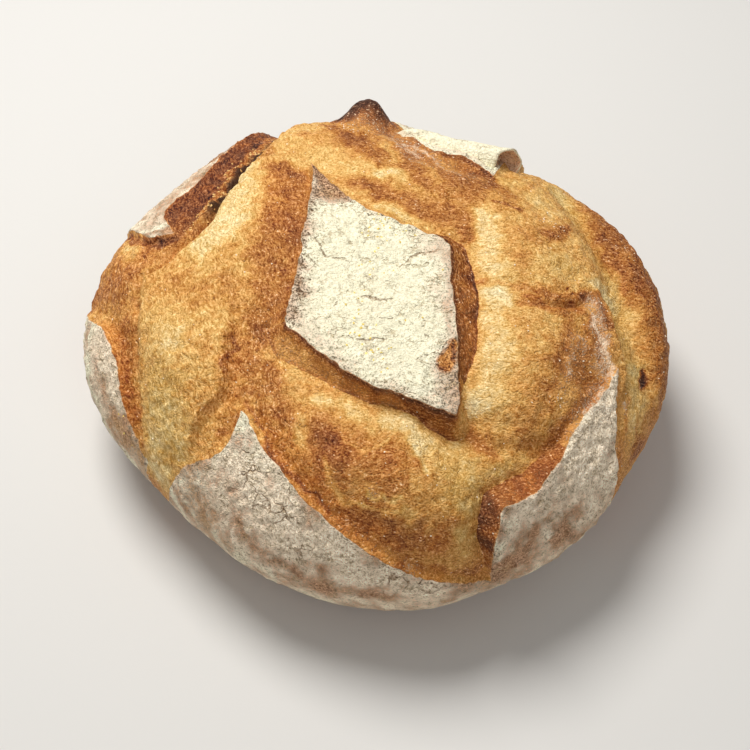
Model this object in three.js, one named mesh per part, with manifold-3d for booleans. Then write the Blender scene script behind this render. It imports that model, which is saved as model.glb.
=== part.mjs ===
// An Italian round loaf, about 26 cm across, baked free on its flat base and scored on top
// with four crossing cuts. The oven has torn the cuts wide open, so that plates of floured
// outer skin stand between swollen bands of bare crust, with one tall ear at the back left.
//
// The crust is one closed surface. A place on it is given as a place on the skin: (u, v) in
// millimetres of skin laid out flat from the crown, u to the right (+X) and v to the back (+Y).
import * as THREE from 'three';
import Module from 'manifold-3d';
import { mergeVertices } from 'three/addons/utils/BufferGeometryUtils.js';

// The plain dome under all the relief, in millimetres.
const DOME_RADIUS = 124.7;      // half the loaf's width, before its outline is made uneven
const DOME_HEIGHT = 110;
const WAIST_HEIGHT = 44;        // the height at which the loaf is widest
const BASE_RADIUS = 88;         // the flat that lay on the oven floor
const DOME_FULLNESS = 2.25;     // 2 is an ellipse, more is squarer in the shoulder

// The outline is a circle that is pulled out of round a little: two, three and four times round.
const OUTLINE = [
  { times: 2, across: 0.022, slant: -0.030 },
  { times: 3, across: 0.000, slant: 0.009 },
  { times: 4, across: 0.026, slant: 0.005 },
];

// The mesh: corners scattered over the skin down to the waist, then rings on down to the base.
const CORNER_GAP = 5.4;         // between the corners on open crust
const LINE_GAP = 4;             // between the corners along an edge, a wall's foot or a crease
const CLOSEST = 2.2;            // no two corners on lines lie nearer than this
const HAIR = 0.01;              // the shake that keeps four corners off one circle
const WAIST_CORNERS = 160;
const TUCK_RINGS = 6;           // rings from the waist down to the base

const CRUST_COLOUR = 0xc98a4b;

// Edges along which the skin has torn and lifted. Each point is
// [u, v, lift of the skin, width of the cut wall, depth of the wall's foot], in millimetres.
// The skin lies on the left of a walk along the line, and the torn side on the right.
const CENTRE_PLATE = [
  [-38, -33, 2, 5, 1.5], [-30, -42, 3.5, 8, 3.5], [-20, -50.5, 4, 8, 4.5], [-10, -58, 4, 7, 5],
  [0, -63, 4, 6, 5], [11, -67.5, 4, 5.5, 5], [20, -70, 4, 6, 5.5], [31, -73.5, 4, 8, 7],
  [33, -52, 3, 6, 4.5], [31.5, -30, 3, 9.5, 4.5], [30.5, -8, 3, 9.5, 4.5], [31, 5, 3, 8, 4],
  [24, 11, 2, 7, 2.5], [10, 19.5, 1, 6, 1], [0, 26, 0.5, 4, 0.5], [-10, 32, 0.5, 3, 0.5],
  [-22, 48, 1.5, 3, 0.5], [-28.5, 53.5, 4, 2.5, 1.5], [-28, 42, 3, 2, 1.5], [-30.5, 20, 1.5, 2, 1],
  [-34, -13, 1, 2, 1], [-38, -33, 2, 5, 1.5],
];
const LEFT_EAR = [
  [-142, 62, 0, 3, 0], [-128, 56, 1, 3, 4], [-112, 41, 2, 3, 5], [-103, 31, 3.5, 3, 5],
  [-94, 25, 3, 3, 4], [-87, 23, 1, 5, 2], [-94, 33, 1.5, 15, 6], [-95.5, 42, 1, 20, 10],
  [-91, 51, 0.5, 21, 12], [-82, 63, 0.5, 20, 12], [-75, 81, 1.5, 16, 11], [-66, 97, 3, 13, 8],
  [-58, 113, 3, 9, 5], [-57, 136, 2.5, 7, 4], [-63, 162, 0, 5, 0],
];
const BACK_PLATE = [
  [-46, 164, 0, 5, 0], [-31, 138, 2.5, 6, 4], [-20, 117, 1, 7, 4], [-12, 101, 1, 10, 3],
  [4, 97, 2, 12, 3], [12, 92, 1, 10, 2], [15, 82, 1, 8, 1], [26, 70, 1.5, 8, 1.5],
  [41, 67, 2, 6, 2.5], [54, 56, 2.5, 5, 3.5], [60, 70, 3, 6, 4], [70, 92, 3, 7, 4.5],
  [86, 116, 2.5, 7, 4], [98, 140, 1.5, 5, 2.5], [104, 154, 0, 4, 0],
];
const LEFT_PLATE = [
  [-119, -74, 0, 4, 0], [-117.5, -53, 1.5, 5, 2], [-116, -22, 2, 6, 2.5], [-130, -5, 1.5, 5, 2],
  [-144, 9, 0, 4, 0],
];
const FRONT_PLATE = [
  [66, -144, 0, 3, 0], [50, -144, 1, 3, 1], [23, -141, 1, 4, 1.5], [0, -129, 1, 4, 1.5],
  [-22, -113, 1, 4, 1.5], [-41, -93, 1, 4, 1.5], [-57, -72, 1.5, 4, 2], [-69, -85, 1, 4, 1.5],
  [-84, -93, 0.5, 4, 0.5], [-97, -94, 0, 4, 0],
];
const FRONT_RIGHT_PLATE = [
  [128, -93, 0, 3, 0], [115, -87, 1.5, 4, 2], [105, -68, 1.5, 4, 2], [103, -45, 1, 3, 1],
  [87, -67, 1, 4, 1.5], [78, -79, 2, 5, 2.5], [72, -97, 3.5, 8, 4], [54, -108, 4, 9, 5.5],
  [50.5, -119, 4, 8, 6], [51, -133, 3, 5, 3.5], [55, -144, 0, 4, 0],
];
const RIGHT_BAND = [
  [106, -52, 1, 3, 1.5], [106, -42, 2, 4, 3], [101, -29, 2.5, 5, 4], [97, -15, 2, 5, 4],
  [88, -3, 0, 4, 0],
];
const BULGE_STEP = [
  [-62, -20, 0, 3, 0], [-64, -38, 2, 3, 1.5], [-69, -62, 2, 4, 1.5], [-83, -76, 1.5, 4, 1],
  [-91, -92, 0, 4, 0],
].reverse();
const EDGES = [
  CENTRE_PLATE, LEFT_EAR, BACK_PLATE, LEFT_PLATE, FRONT_PLATE, FRONT_RIGHT_PLATE, RIGHT_BAND,
  BULGE_STEP,
];
const LIFT_REACH = 14;          // how far back from its edge the skin stays lifted
const FOOT_REACH = 11;          // how far the crust takes to swell up again past a wall's foot

// Creases and ridges: each point is [u, v, depth, half width]; a ridge has a depth below zero.
const CREASES = [
  // the crack at the foot of the ear, and the crease that runs on from it
  [[-55, 80, 1, 3], [-60, 64, 5, 3], [-67, 42, 6, 3], [-72, 25, 4, 3], [-84, 10, 2.5, 3], [-99, 0, 1.5, 3]],
  [[-99, 0, 1.5, 3.5], [-99, -20, 2, 3.5], [-109, -50, 2, 3.5], [-116, -70, 0, 3.5]],
  // the slit across the right hand crust, and the fold under it
  [[52, -19, 0, 3], [66, -21, 2.5, 3], [82, -17, 2.5, 3], [88, -14, 0, 3]],
  [[33, -78, 2, 3.5], [48, -87, 3, 4], [72, -84, 2, 4], [79, -80, 0, 3]],
  // the long groove inside the right hand rim, and the rim itself
  [[88, 62, 2, 6], [97, 25, 4, 7], [106, -6, 4, 7], [120, -34, 3.5, 6], [124, -50, 0, 5]],
  [[100, 70, 0, 9], [112, 30, -3.5, 10], [124, -5, -3.5, 10], [133, -45, -2, 10], [132, -80, 0, 9]],
];

// Broad swells of the crust: where, how far they reach along and across, their turn, their rise.
const SWELLS = [
  { u: -62, v: 18, along: 42, across: 17, turn: 82, rise: 4 },      // left crust, beside the ear
  { u: -86, v: -38, along: 34, across: 17, turn: 100, rise: 5 },    // left bulge
  { u: -108, v: 8, along: 20, across: 12, turn: 130, rise: 2.5 },   // left shoulder
  { u: -8, v: -96, along: 42, across: 20, turn: -30, rise: 5 },     // front crust
  { u: 34, v: -108, along: 24, across: 15, turn: -40, rise: 3 },    // front crust, right end
  { u: 64, v: -48, along: 30, across: 20, turn: 95, rise: 5.5 },    // right crust
  { u: 62, v: 12, along: 27, across: 19, turn: 90, rise: 4 },       // right crust, upper half
  { u: -34, v: 84, along: 26, across: 18, turn: 60, rise: 2.5 },    // crust above the centre plate
  { u: 34, v: 44, along: 26, across: 14, turn: -20, rise: 2.5 },    // brown crust under the roll
  { u: -2, v: 106, along: 9, across: 10, turn: 0, rise: 9.5 },      // the pointed tip at the back
  { u: 34, v: 104, along: 34, across: 20, turn: -10, rise: -7 },    // hollow behind the roll
  { u: -2, v: -14, along: 26, across: 20, turn: 0, rise: -1.5 },    // dished middle of the plate
  { u: -106, v: 92, along: 32, across: 16, turn: 50, rise: -2.5 },  // flat behind the ear
  { u: 102, v: -116, along: 38, across: 26, turn: 50, rise: 4.5 },  // lower wall, front right
  { u: -148, v: -30, along: 45, across: 20, turn: 90, rise: 2 },    // lower wall, left
  { u: -75, v: -140, along: 50, across: 22, turn: -30, rise: 3 },   // lower wall, front left
];

// The roll of skin at the back right, curled like a wood shaving and open at its right end.
const ROLL = {
  path: [[8, 91, 0], [22, 85, 0], [37, 80, -0.5], [51, 75, 0.5], [64, 69, 2]],
  radius: [3, 4.5, 5.5, 6.3, 6.8],
  mouthDepth: 9,
  wall: 1.8,
  sides: 14,
  steps: 12,
};

const wasm = await Module();
wasm.setup();

const smooth = (x) => {
  const t = THREE.MathUtils.clamp(x, 0, 1);
  return t * t * (3 - 2 * t);
};

// The dome's half section from the crown to the edge of its flat base, as radius and height
// against the length of skin from the crown.
function domeSection(steps = 400) {
  const section = [];
  const power = 2 / DOME_FULLNESS;
  for (let i = 0; i <= steps; i++) {
    const a = (Math.PI / 2) * (i / steps);
    const rise = (DOME_HEIGHT - WAIST_HEIGHT) * Math.cos(a) ** power;
    section.push({ radius: DOME_RADIUS * Math.sin(a) ** power, height: WAIST_HEIGHT + rise });
  }
  for (let i = 1; i <= steps; i++) {
    const a = (Math.PI / 2) * (i / steps);
    const radius = BASE_RADIUS + (DOME_RADIUS - BASE_RADIUS) * Math.cos(a);
    section.push({ radius, height: WAIST_HEIGHT * (1 - Math.sin(a)) });
  }
  section[0].skin = 0;
  for (let i = 1; i < section.length; i++) {
    const [from, to] = [section[i - 1], section[i]];
    to.skin = from.skin + Math.hypot(to.radius - from.radius, to.height - from.height);
  }
  section.waist = section[steps].skin;
  section.end = section.at(-1).skin;
  return section;
}
const SECTION = domeSection();

function outline(angle) {
  const pull = ({ times, across, slant }) => across * Math.cos(times * angle) + slant * Math.sin(times * angle);
  return OUTLINE.reduce((sum, wave) => sum + pull(wave), 1);
}

// The plain dome's point at a place on the skin. The outline's pull fades out at the crown.
function domePoint(u, v) {
  const skin = Math.min(Math.hypot(u, v), SECTION.end);
  const angle = Math.atan2(v, u);
  let i = 1;
  while (SECTION[i].skin < skin) i++;
  const [a, b] = [SECTION[i - 1], SECTION[i]];
  const t = (skin - a.skin) / (b.skin - a.skin);
  const radius = THREE.MathUtils.lerp(a.radius, b.radius, t);
  const height = THREE.MathUtils.lerp(a.height, b.height, t);
  const pull = 1 + (outline(angle) - 1) * smooth(radius / DOME_RADIUS);
  return new THREE.Vector3(radius * pull * Math.cos(angle), radius * pull * Math.sin(angle), height);
}

function domeNormal(u, v) {
  const step = 0.5;
  const alongU = domePoint(u + step, v).sub(domePoint(u - step, v));
  const alongV = domePoint(u, v + step).sub(domePoint(u, v - step));
  return alongU.cross(alongV).normalize();
}

// The nearest place on a line of points: how far off it is (above zero on the right of the
// line), where it is, and the line's further values there.
function nearest(line, u, v) {
  let best = { gap: Infinity, offset: 0 };
  for (let i = 0; i + 1 < line.length; i++) {
    const [au, av] = line[i];
    const [du, dv] = [line[i + 1][0] - au, line[i + 1][1] - av];
    const length = Math.hypot(du, dv);
    const t = THREE.MathUtils.clamp(((u - au) * du + (v - av) * dv) / length ** 2, 0, 1);
    const gap = Math.hypot(u - au - t * du, v - av - t * dv);
    const offset = ((u - au) * dv - (v - av) * du) / length;
    const tie = Math.abs(gap - best.gap) < 1e-6 && Math.abs(offset) > Math.abs(best.offset);
    if (gap < best.gap - 1e-6 || tie) best = { gap, offset, i, t };
  }
  const values = line[best.i].map((value, k) => THREE.MathUtils.lerp(value, line[best.i + 1][k], best.t));
  return { away: Math.sign(best.offset) * best.gap, at: values.slice(0, 2), values: values.slice(2) };
}

// The skin lifts towards its torn edge, drops down the cut wall, and swells up again past it.
function edgeRelief(edge, u, v) {
  const { away, values: [lift, wall, foot] } = nearest(edge, u, v);
  if (away <= 0) return lift * Math.exp(away / LIFT_REACH);
  if (away < wall) return lift - (lift + foot) * smooth(away / wall);
  return -foot * Math.exp(-(away - wall) / FOOT_REACH);
}

function creaseRelief(crease, u, v) {
  const { away, values: [depth, halfWidth] } = nearest(crease, u, v);
  return -depth * Math.exp(-((away / halfWidth) ** 2));
}

function swellRelief(swell, u, v) {
  const turn = THREE.MathUtils.degToRad(swell.turn);
  const [du, dv] = [u - swell.u, v - swell.v];
  const along = (du * Math.cos(turn) + dv * Math.sin(turn)) / swell.along;
  const across = (dv * Math.cos(turn) - du * Math.sin(turn)) / swell.across;
  return swell.rise * Math.exp(-(along ** 2 + across ** 2));
}

// Slow unevenness of the whole crust, which no hand-shaped loaf is without.
function unevenness(u, v) {
  const wave = (length, heading, shift) => {
    const turn = THREE.MathUtils.degToRad(heading);
    return Math.sin((2 * Math.PI * (u * Math.cos(turn) + v * Math.sin(turn))) / length + shift);
  };
  return 0.5 * wave(61, 20, 0.4) + 0.4 * wave(43, 95, 1.9) + 0.3 * wave(29, 150, 3.1);
}

// All relief fades out under the waist, so that the base stays flat.
function relief(u, v) {
  const skin = Math.hypot(u, v);
  const fade = 1 - smooth((skin - SECTION.waist) / ((SECTION.end - SECTION.waist) * 0.8));
  let height = unevenness(u, v);
  for (const edge of EDGES) height += edgeRelief(edge, u, v);
  for (const crease of CREASES) height += creaseRelief(crease, u, v);
  for (const swell of SWELLS) height += swellRelief(swell, u, v);
  return height * fade;
}

function crustPoint(u, v, lift = 0) {
  return domePoint(u, v).addScaledVector(domeNormal(u, v), relief(u, v) + lift);
}

// Places every LINE_GAP along a line of points, moved a share of the wall's width to its right.
function placesAlong(line, share = 0) {
  const places = [];
  for (let i = 0; i + 1 < line.length; i++) {
    const [du, dv] = [line[i + 1][0] - line[i][0], line[i + 1][1] - line[i][1]];
    const length = Math.hypot(du, dv);
    const steps = Math.ceil(length / LINE_GAP);
    for (let step = 0; step <= steps; step++) {
      const [u, v, , wall] = line[i].map((value, k) => THREE.MathUtils.lerp(value, line[i + 1][k], step / steps));
      places.push([u + (share * wall * dv) / length, v - (share * wall * du) / length]);
    }
  }
  return places;
}

// The mesh's corners down to the waist: first on the edges, so that they stay sharp, then on
// the feet of the cut walls, the creases, the waist, and last an even lattice over the rest.
function scatteredPlaces() {
  const places = [];
  const add = (wanted, closest) => {
    for (const [u, v] of wanted) {
      const crowded = places.some((place) => Math.hypot(place[0] - u, place[1] - v) < closest);
      if (!crowded && Math.hypot(u, v) <= SECTION.waist) places.push([u, v]);
    }
  };
  const ring = (skin) => Array.from({ length: WAIST_CORNERS }, (_, j) => {
    const angle = (2 * Math.PI * j) / WAIST_CORNERS;
    return [skin * Math.cos(angle), skin * Math.sin(angle)];
  });
  places.push(...ring(SECTION.waist - 1e-6));
  for (const edge of EDGES) add(placesAlong(edge), CLOSEST);
  for (const edge of EDGES) add(placesAlong(edge, 1), CLOSEST);
  for (const crease of CREASES) add(placesAlong(crease), CLOSEST);
  const row = CORNER_GAP * Math.sin(Math.PI / 3);
  const half = Math.ceil(SECTION.waist / row);
  for (let j = -half; j <= half; j++) {
    const shift = (j % 2) * (CORNER_GAP / 2);
    const lattice = Array.from({ length: 2 * half + 1 }, (_, i) => [(i - half) * CORNER_GAP + shift, j * row]);
    add(lattice, CORNER_GAP * 0.72);
  }
  return places;
}

// Joins places into triangles, none of whose circles holds another place (Bowyer and Watson).
// They are shaken by a hair first, so that no four lie on one circle.
function triangulate(places) {
  const far = 100 * SECTION.waist;
  const shaken = places.map(([u, v], k) => [u + HAIR * Math.sin(7.1 * k), v + HAIR * Math.cos(4.7 * k)]);
  const corners = [...shaken, [-far, -far], [far, -far], [0, far]];
  const withCircle = (a, b, c) => {
    const [[au, av], [bu, bv], [cu, cv]] = [corners[a], corners[b], corners[c]];
    const [b2, c2] = [(bu - au) ** 2 + (bv - av) ** 2, (cu - au) ** 2 + (cv - av) ** 2];
    const twice = 2 * ((bu - au) * (cv - av) - (bv - av) * (cu - au));
    const [u, v] = [((cv - av) * b2 - (bv - av) * c2) / twice, ((bu - au) * c2 - (cu - au) * b2) / twice];
    return { a, b, c, u: au + u, v: av + v, square: u * u + v * v };
  };
  let triangles = [withCircle(places.length, places.length + 1, places.length + 2)];
  shaken.forEach(([u, v], here) => {
    const rim = new Map();
    triangles = triangles.filter((triangle) => {
      if ((u - triangle.u) ** 2 + (v - triangle.v) ** 2 >= triangle.square) return true;
      const { a, b, c } = triangle;
      for (const [i, j] of [[a, b], [b, c], [c, a]]) {
        if (!rim.delete(`${j} ${i}`)) rim.set(`${i} ${j}`, [i, j]);
      }
      return false;
    });
    for (const [i, j] of rim.values()) triangles.push(withCircle(i, j, here));
  });
  return triangles.map(({ a, b, c }) => [a, b, c]).filter((face) => Math.max(...face) < places.length);
}

function closedGeometry(points, faces) {
  const geometry = new THREE.BufferGeometry();
  geometry.setAttribute('position', new THREE.Float32BufferAttribute(points.flatMap((p) => p.toArray()), 3));
  geometry.setIndex(faces.flat());
  return geometry;
}

// The whole crust: the top down to the waist, then rings on down and under it to the flat base.
function crustGeometry() {
  const places = scatteredPlaces();
  const points = places.map(([u, v]) => crustPoint(u, v));
  const faces = triangulate(places);
  let above = 0;
  for (let ring = 1; ring <= TUCK_RINGS; ring++) {
    const skin = THREE.MathUtils.lerp(SECTION.waist, SECTION.end, ring / TUCK_RINGS);
    const below = points.length;
    for (let j = 0; j < WAIST_CORNERS; j++) {
      const angle = (2 * Math.PI * j) / WAIST_CORNERS;
      const next = (j + 1) % WAIST_CORNERS;
      points.push(crustPoint(skin * Math.cos(angle), skin * Math.sin(angle)));
      faces.push([above + j, below + j, below + next], [above + j, below + next, above + next]);
    }
    above = below;
  }
  points.push(new THREE.Vector3(0, 0, 0));
  for (let j = 0; j < WAIST_CORNERS; j++) {
    faces.push([points.length - 1, above + ((j + 1) % WAIST_CORNERS), above + j]);
  }
  return closedGeometry(points, faces);
}

// A closed round bar whose radius changes along a path, with a flat end at each end.
function taperedBar(centres, radii, sides) {
  const curve = new THREE.CatmullRomCurve3(centres);
  const points = [];
  const faces = [];
  const frames = curve.computeFrenetFrames(ROLL.steps, false);
  for (let i = 0; i <= ROLL.steps; i++) {
    const t = i / ROLL.steps;
    const span = t * (radii.length - 1);
    const k = Math.min(Math.floor(span), radii.length - 2);
    const radius = THREE.MathUtils.lerp(radii[k], radii[k + 1], span - k);
    for (let j = 0; j < sides; j++) {
      const a = (2 * Math.PI * j) / sides;
      const out = frames.normals[i].clone().multiplyScalar(Math.cos(a) * radius)
        .addScaledVector(frames.binormals[i], Math.sin(a) * radius);
      points.push(curve.getPoint(t).add(out));
      if (i === 0) continue;
      const [a0, a1] = [(i - 1) * sides + j, (i - 1) * sides + ((j + 1) % sides)];
      faces.push([a0, a1, a1 + sides], [a0, a1 + sides, a0 + sides]);
    }
  }
  const last = ROLL.steps * sides;
  for (let j = 1; j < sides - 1; j++) faces.push([0, j + 1, j], [last, last + j, last + j + 1]);
  return closedGeometry(points, faces);
}

function solidFrom(geometry) {
  const bare = geometry.clone();
  bare.deleteAttribute('normal');
  bare.deleteAttribute('uv');
  const merged = mergeVertices(bare, 1e-4);
  return new wasm.Manifold(new wasm.Mesh({
    numProp: 3,
    vertProperties: merged.attributes.position.array,
    triVerts: new Uint32Array(merged.index.array),
  }));
}

function geometryFrom(solid) {
  const mesh = solid.getMesh();
  const geometry = new THREE.BufferGeometry();
  geometry.setAttribute('position', new THREE.BufferAttribute(mesh.vertProperties, mesh.numProp));
  geometry.setIndex(new THREE.BufferAttribute(mesh.triVerts, 1));
  return geometry;
}

// The roll is a bar laid on the crust, hollowed from its open end.
function rollSolid() {
  const centres = ROLL.path.map(([u, v, lift]) => crustPoint(u, v, lift));
  const bar = solidFrom(taperedBar(centres, ROLL.radius, ROLL.sides));
  const end = centres.at(-1);
  const inward = centres.at(-2).clone().sub(end).normalize();
  const bore = ROLL.radius.at(-1) - ROLL.wall;
  const mouth = [-1, 0, ROLL.mouthDepth / 2, ROLL.mouthDepth].map((d) => end.clone().addScaledVector(inward, d));
  return bar.subtract(solidFrom(taperedBar(mouth, [bore, bore, bore * 0.9, bore * 0.5], ROLL.sides)));
}

// The finished loaf stands on its base with the middle of its box over the origin.
function loafGeometry() {
  const geometry = geometryFrom(solidFrom(crustGeometry()).add(rollSolid()));
  geometry.computeBoundingBox();
  const middle = geometry.boundingBox.getCenter(new THREE.Vector3());
  geometry.translate(-middle.x, -middle.y, -geometry.boundingBox.min.z);
  return geometry;
}

const crust = new THREE.MeshStandardMaterial({ color: CRUST_COLOUR, roughness: 0.8, metalness: 0 });
const loaf = new THREE.Mesh(loafGeometry(), crust);
loaf.name = 'loaf';

const model = new THREE.Group();
model.add(loaf);

export default model;
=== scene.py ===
# An Italian round loaf: one piece of bread, baked on the oven floor and scored with four
# crossing cuts that have torn wide open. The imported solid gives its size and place, and this
# script makes the crust that is seen: its relief, its browning, its flour and its torn crumb.
import math

import bpy
import numpy as np
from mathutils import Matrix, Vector
from mathutils.geometry import delaunay_2d_cdt


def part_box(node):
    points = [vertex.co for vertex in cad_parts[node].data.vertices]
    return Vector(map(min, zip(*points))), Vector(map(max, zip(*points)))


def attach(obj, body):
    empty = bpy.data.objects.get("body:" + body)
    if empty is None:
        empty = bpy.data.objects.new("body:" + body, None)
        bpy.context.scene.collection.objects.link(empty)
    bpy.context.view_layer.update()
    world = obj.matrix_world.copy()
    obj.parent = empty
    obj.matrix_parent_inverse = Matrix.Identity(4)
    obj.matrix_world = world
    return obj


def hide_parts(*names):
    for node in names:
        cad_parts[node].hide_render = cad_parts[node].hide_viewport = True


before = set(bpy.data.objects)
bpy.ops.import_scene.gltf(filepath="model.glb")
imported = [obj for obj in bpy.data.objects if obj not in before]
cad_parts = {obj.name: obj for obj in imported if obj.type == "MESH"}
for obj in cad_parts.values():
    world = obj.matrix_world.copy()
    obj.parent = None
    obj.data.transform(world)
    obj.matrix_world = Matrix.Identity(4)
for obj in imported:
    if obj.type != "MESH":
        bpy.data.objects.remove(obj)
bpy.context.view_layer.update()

# --- The view ---------------------------------------------------------------------------------
# The loaf is looked down on from in front, as across a baker's table, through a lens a little
# longer than the eye's, so that its far side isn't much smaller than its near one.

VIEW_HEIGHT = math.radians(55)
VIEW_DISTANCE = 0.650
VIEW_TARGET = Vector((-0.0005, -0.0161, 0.0450))

lens = bpy.data.cameras.new("view")
lens.lens = 70
lens.sensor_width = 36
lens.clip_start = 0.01
camera = bpy.data.objects.new("view", lens)
bpy.context.scene.collection.objects.link(camera)
towards = Vector((0, -math.cos(VIEW_HEIGHT), math.sin(VIEW_HEIGHT)))
camera.location = VIEW_TARGET + towards * VIEW_DISTANCE
camera.rotation_euler = (-towards).to_track_quat("-Z", "Y").to_euler()
bpy.context.scene.camera = camera

# --- The crust: its form ----------------------------------------------------------------------
# One closed skin of baked dough over a dome with a flat base. A place on it is a place on the
# skin laid out flat: (u, v) in millimetres from the crown, u to the right and v to the back.
# Relief is measured outwards from the plain dome, in millimetres.

MM = 0.001
DOME_RADIUS = 124.7
DOME_HEIGHT = 110.0
WAIST_HEIGHT = 44.0
BASE_RADIUS = 88.0
DOME_FULLNESS = 2.25
OUTLINE = [(2, 0.022, -0.030), (3, 0.0, 0.009), (4, 0.026, 0.005)]   # times round, cos, sin

LIFT_REACH = 14.0       # how far back from its edge a plate of skin stays lifted
FOOT_REACH = 11.0       # how far the crust takes to swell up again past a cut wall's foot
EAR_FOOT_REACH = 4.5    # the same beyond the ear's torn face
CRACK_REACH = 1.8       # and past the crack below that face
BROAD_WAVES = 0.8       # how much the whole crust waves up and down
TUCK_FADE = 0.8         # the share of the tuck under the waist in which relief and looks fade out

# The edges of the plates of skin: u, v, lift of the edge, width of the cut wall below it and
# depth of the wall's foot. The skin is on the left of a walk along the line.
EDGES = {
    "centre": [
        (-38.5, -31.5, 2, 6, 1.5), (-38, -36.5, 2.5, 10, 2.5), (-34, -41.5, 3, 12, 3),
        (-26, -48.5, 3.5, 9.5, 3.5), (-17.5, -55.2, 4, 7.5, 4.5), (-9.5, -61, 4, 5.5, 5),
        (-1, -65, 4, 4.5, 5), (7, -67.7, 4, 3.8, 5), (15, -70.5, 4, 3.8, 5), (22, -73, 4, 5.5, 6),
        (31.4, -75.2, 4, 8, 7.5), (31.6, -66, 3.5, 2.5, 4), (31.8, -56, 3, 5.5, 4.5),
        (31.8, -44, 3, 9, 4.5), (30.8, -28, 3, 11, 4.5), (29.8, -10, 3, 11, 4.5), (30, 3.5, 3, 8, 4),
        (23, 9.5, 2, 4.5, 2), (9.5, 17, 1, 4, 1), (-5.5, 25.5, 0.5, 4, 0.5), (-14, 34, 0.5, 3, 0.5),
        (-23, 46, 1.5, 3, 0.5), (-28.8, 53.5, 4, 2.5, 1.5), (-28.5, 42, 3, 2, 1.5),
        (-30.5, 20, 1.5, 2, 1), (-34, -10, 1, 2, 1), (-38.5, -31.5, 2, 6, 1.5),
    ],
    "ear": [
        (-142, 62, 0, 3, 0), (-127, 54, 0.5, 2, 1), (-112, 39.5, 1.2, 2, 1), (-100.5, 26.5, 1.6, 2, 1),
        (-92, 23, 2, 2, 1), (-86.5, 23, 1, 3, 1.2), (-93, 33, 1.5, 21, 2.5), (-95.5, 42, 1, 25, 3),
        (-91, 51, 0.5, 24, 3.2), (-82, 63, 0.5, 20, 3.2), (-75, 81, 1.5, 18, 3),
        (-66, 97, 3, 13, 2.5), (-60, 108, 3.5, 9, 2.5), (-58, 136, 2.5, 7, 2.5), (-63, 162, 0, 5, 0),
    ],
    "back": [
        (-46, 164, 0, 5, 0), (-36, 148, 2, 6, 3), (-22, 133, 1, 7, 3), (-2, 125, 1, 8, 2),
        (11, 112, 1, 9, 2), (15, 98, 1, 9, 2), (18, 82, 1, 8, 1), (26.5, 69.5, 1.5, 8, 1.5),
        (41, 67, 2, 6, 2.5), (54, 56, 0.4, 3, 1), (60, 70, 0.6, 4, 1.2), (70, 92, 3, 7, 4.5),
        (86, 116, 2.5, 7, 4), (98, 140, 1.5, 5, 2.5), (104, 154, 0, 4, 0),
    ],
    "left": [
        (-122, -84, 0, 4, 0), (-120.5, -62, 1, 4, 1), (-118.8, -45, 1.5, 5, 2), (-118, -30, 1.5, 5, 2),
        (-123, -14, 1.5, 5, 2), (-134, -2, 1.5, 5, 2), (-146, 12, 0, 4, 0),
    ],
    "front": [
        (66, -144, 0, 3, 0), (54, -146, 1, 3, 1), (40, -146, 1, 3, 1), (20, -141.5, 1, 4, 1.5),
        (3.5, -134, 1, 4, 1.5), (-12, -124.5, 1, 4, 1.5), (-29, -111.3, 1, 4, 1.5),
        (-41, -99.3, 1, 4, 1.5), (-49, -90, 1, 4, 1.5), (-59.3, -73.5, 1.5, 4, 2),
        (-66.5, -86.5, 1, 4, 1.5), (-75, -91.5, 0.5, 4, 0.5), (-95, -93, 0, 4, 0),
    ],
    "front right": [
        (124, -106, 0, 3, 0), (115, -92, 1, 3, 1), (105.5, -73, 1.2, 4, 1.5), (101, -44, 1, 3, 1),
        (94, -59, 0.6, 2, 0.6), (84.5, -72, 0.8, 2, 0.8), (79, -81, 1.5, 2.5, 2), (76.5, -87, 2.5, 4, 3),
        (71.8, -93.2, 3, 5.5, 4), (67.5, -99.6, 3.5, 6.5, 4.5), (61, -104.5, 4, 7, 5.5),
        (54, -106.8, 4, 6.5, 5.5), (49.5, -110, 4, 6, 6), (48, -117, 4, 5, 6),
        (48.4, -124, 4, 3.5, 6), (51.5, -135, 2, 1.5, 3), (57, -146, 0, 2, 0),
    ],
    "band": [
        (106, -52, 1, 3, 1.5), (106, -42, 2, 4, 3), (101, -29, 2.5, 5, 4), (97, -15, 2, 5, 4),
        (88, -3, 0, 4, 0),
    ],
    "bulge": [
        (-91, -92, 0, 4, 0), (-83, -76, 1.5, 4, 1), (-69, -62, 2, 4, 1.5), (-64, -38, 2, 3, 1.5),
        (-62, -20, 0, 3, 0),
    ],
}

# Where the outer skin still covers the loaf: an edge, closed by a way round below the waist.
PLATES = {
    "centre": [],
    "ear": [(-90, 235), (-235, 180), (-215, 70)],
    "back": [(160, 230), (-70, 290)],
    "left": [(-230, 30), (-240, -140), (-150, -100)],
    "front": [(-150, -118), (-200, -190), (0, -300), (120, -220)],
    "front right": [(90, -220), (240, -160)],
}

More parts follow.
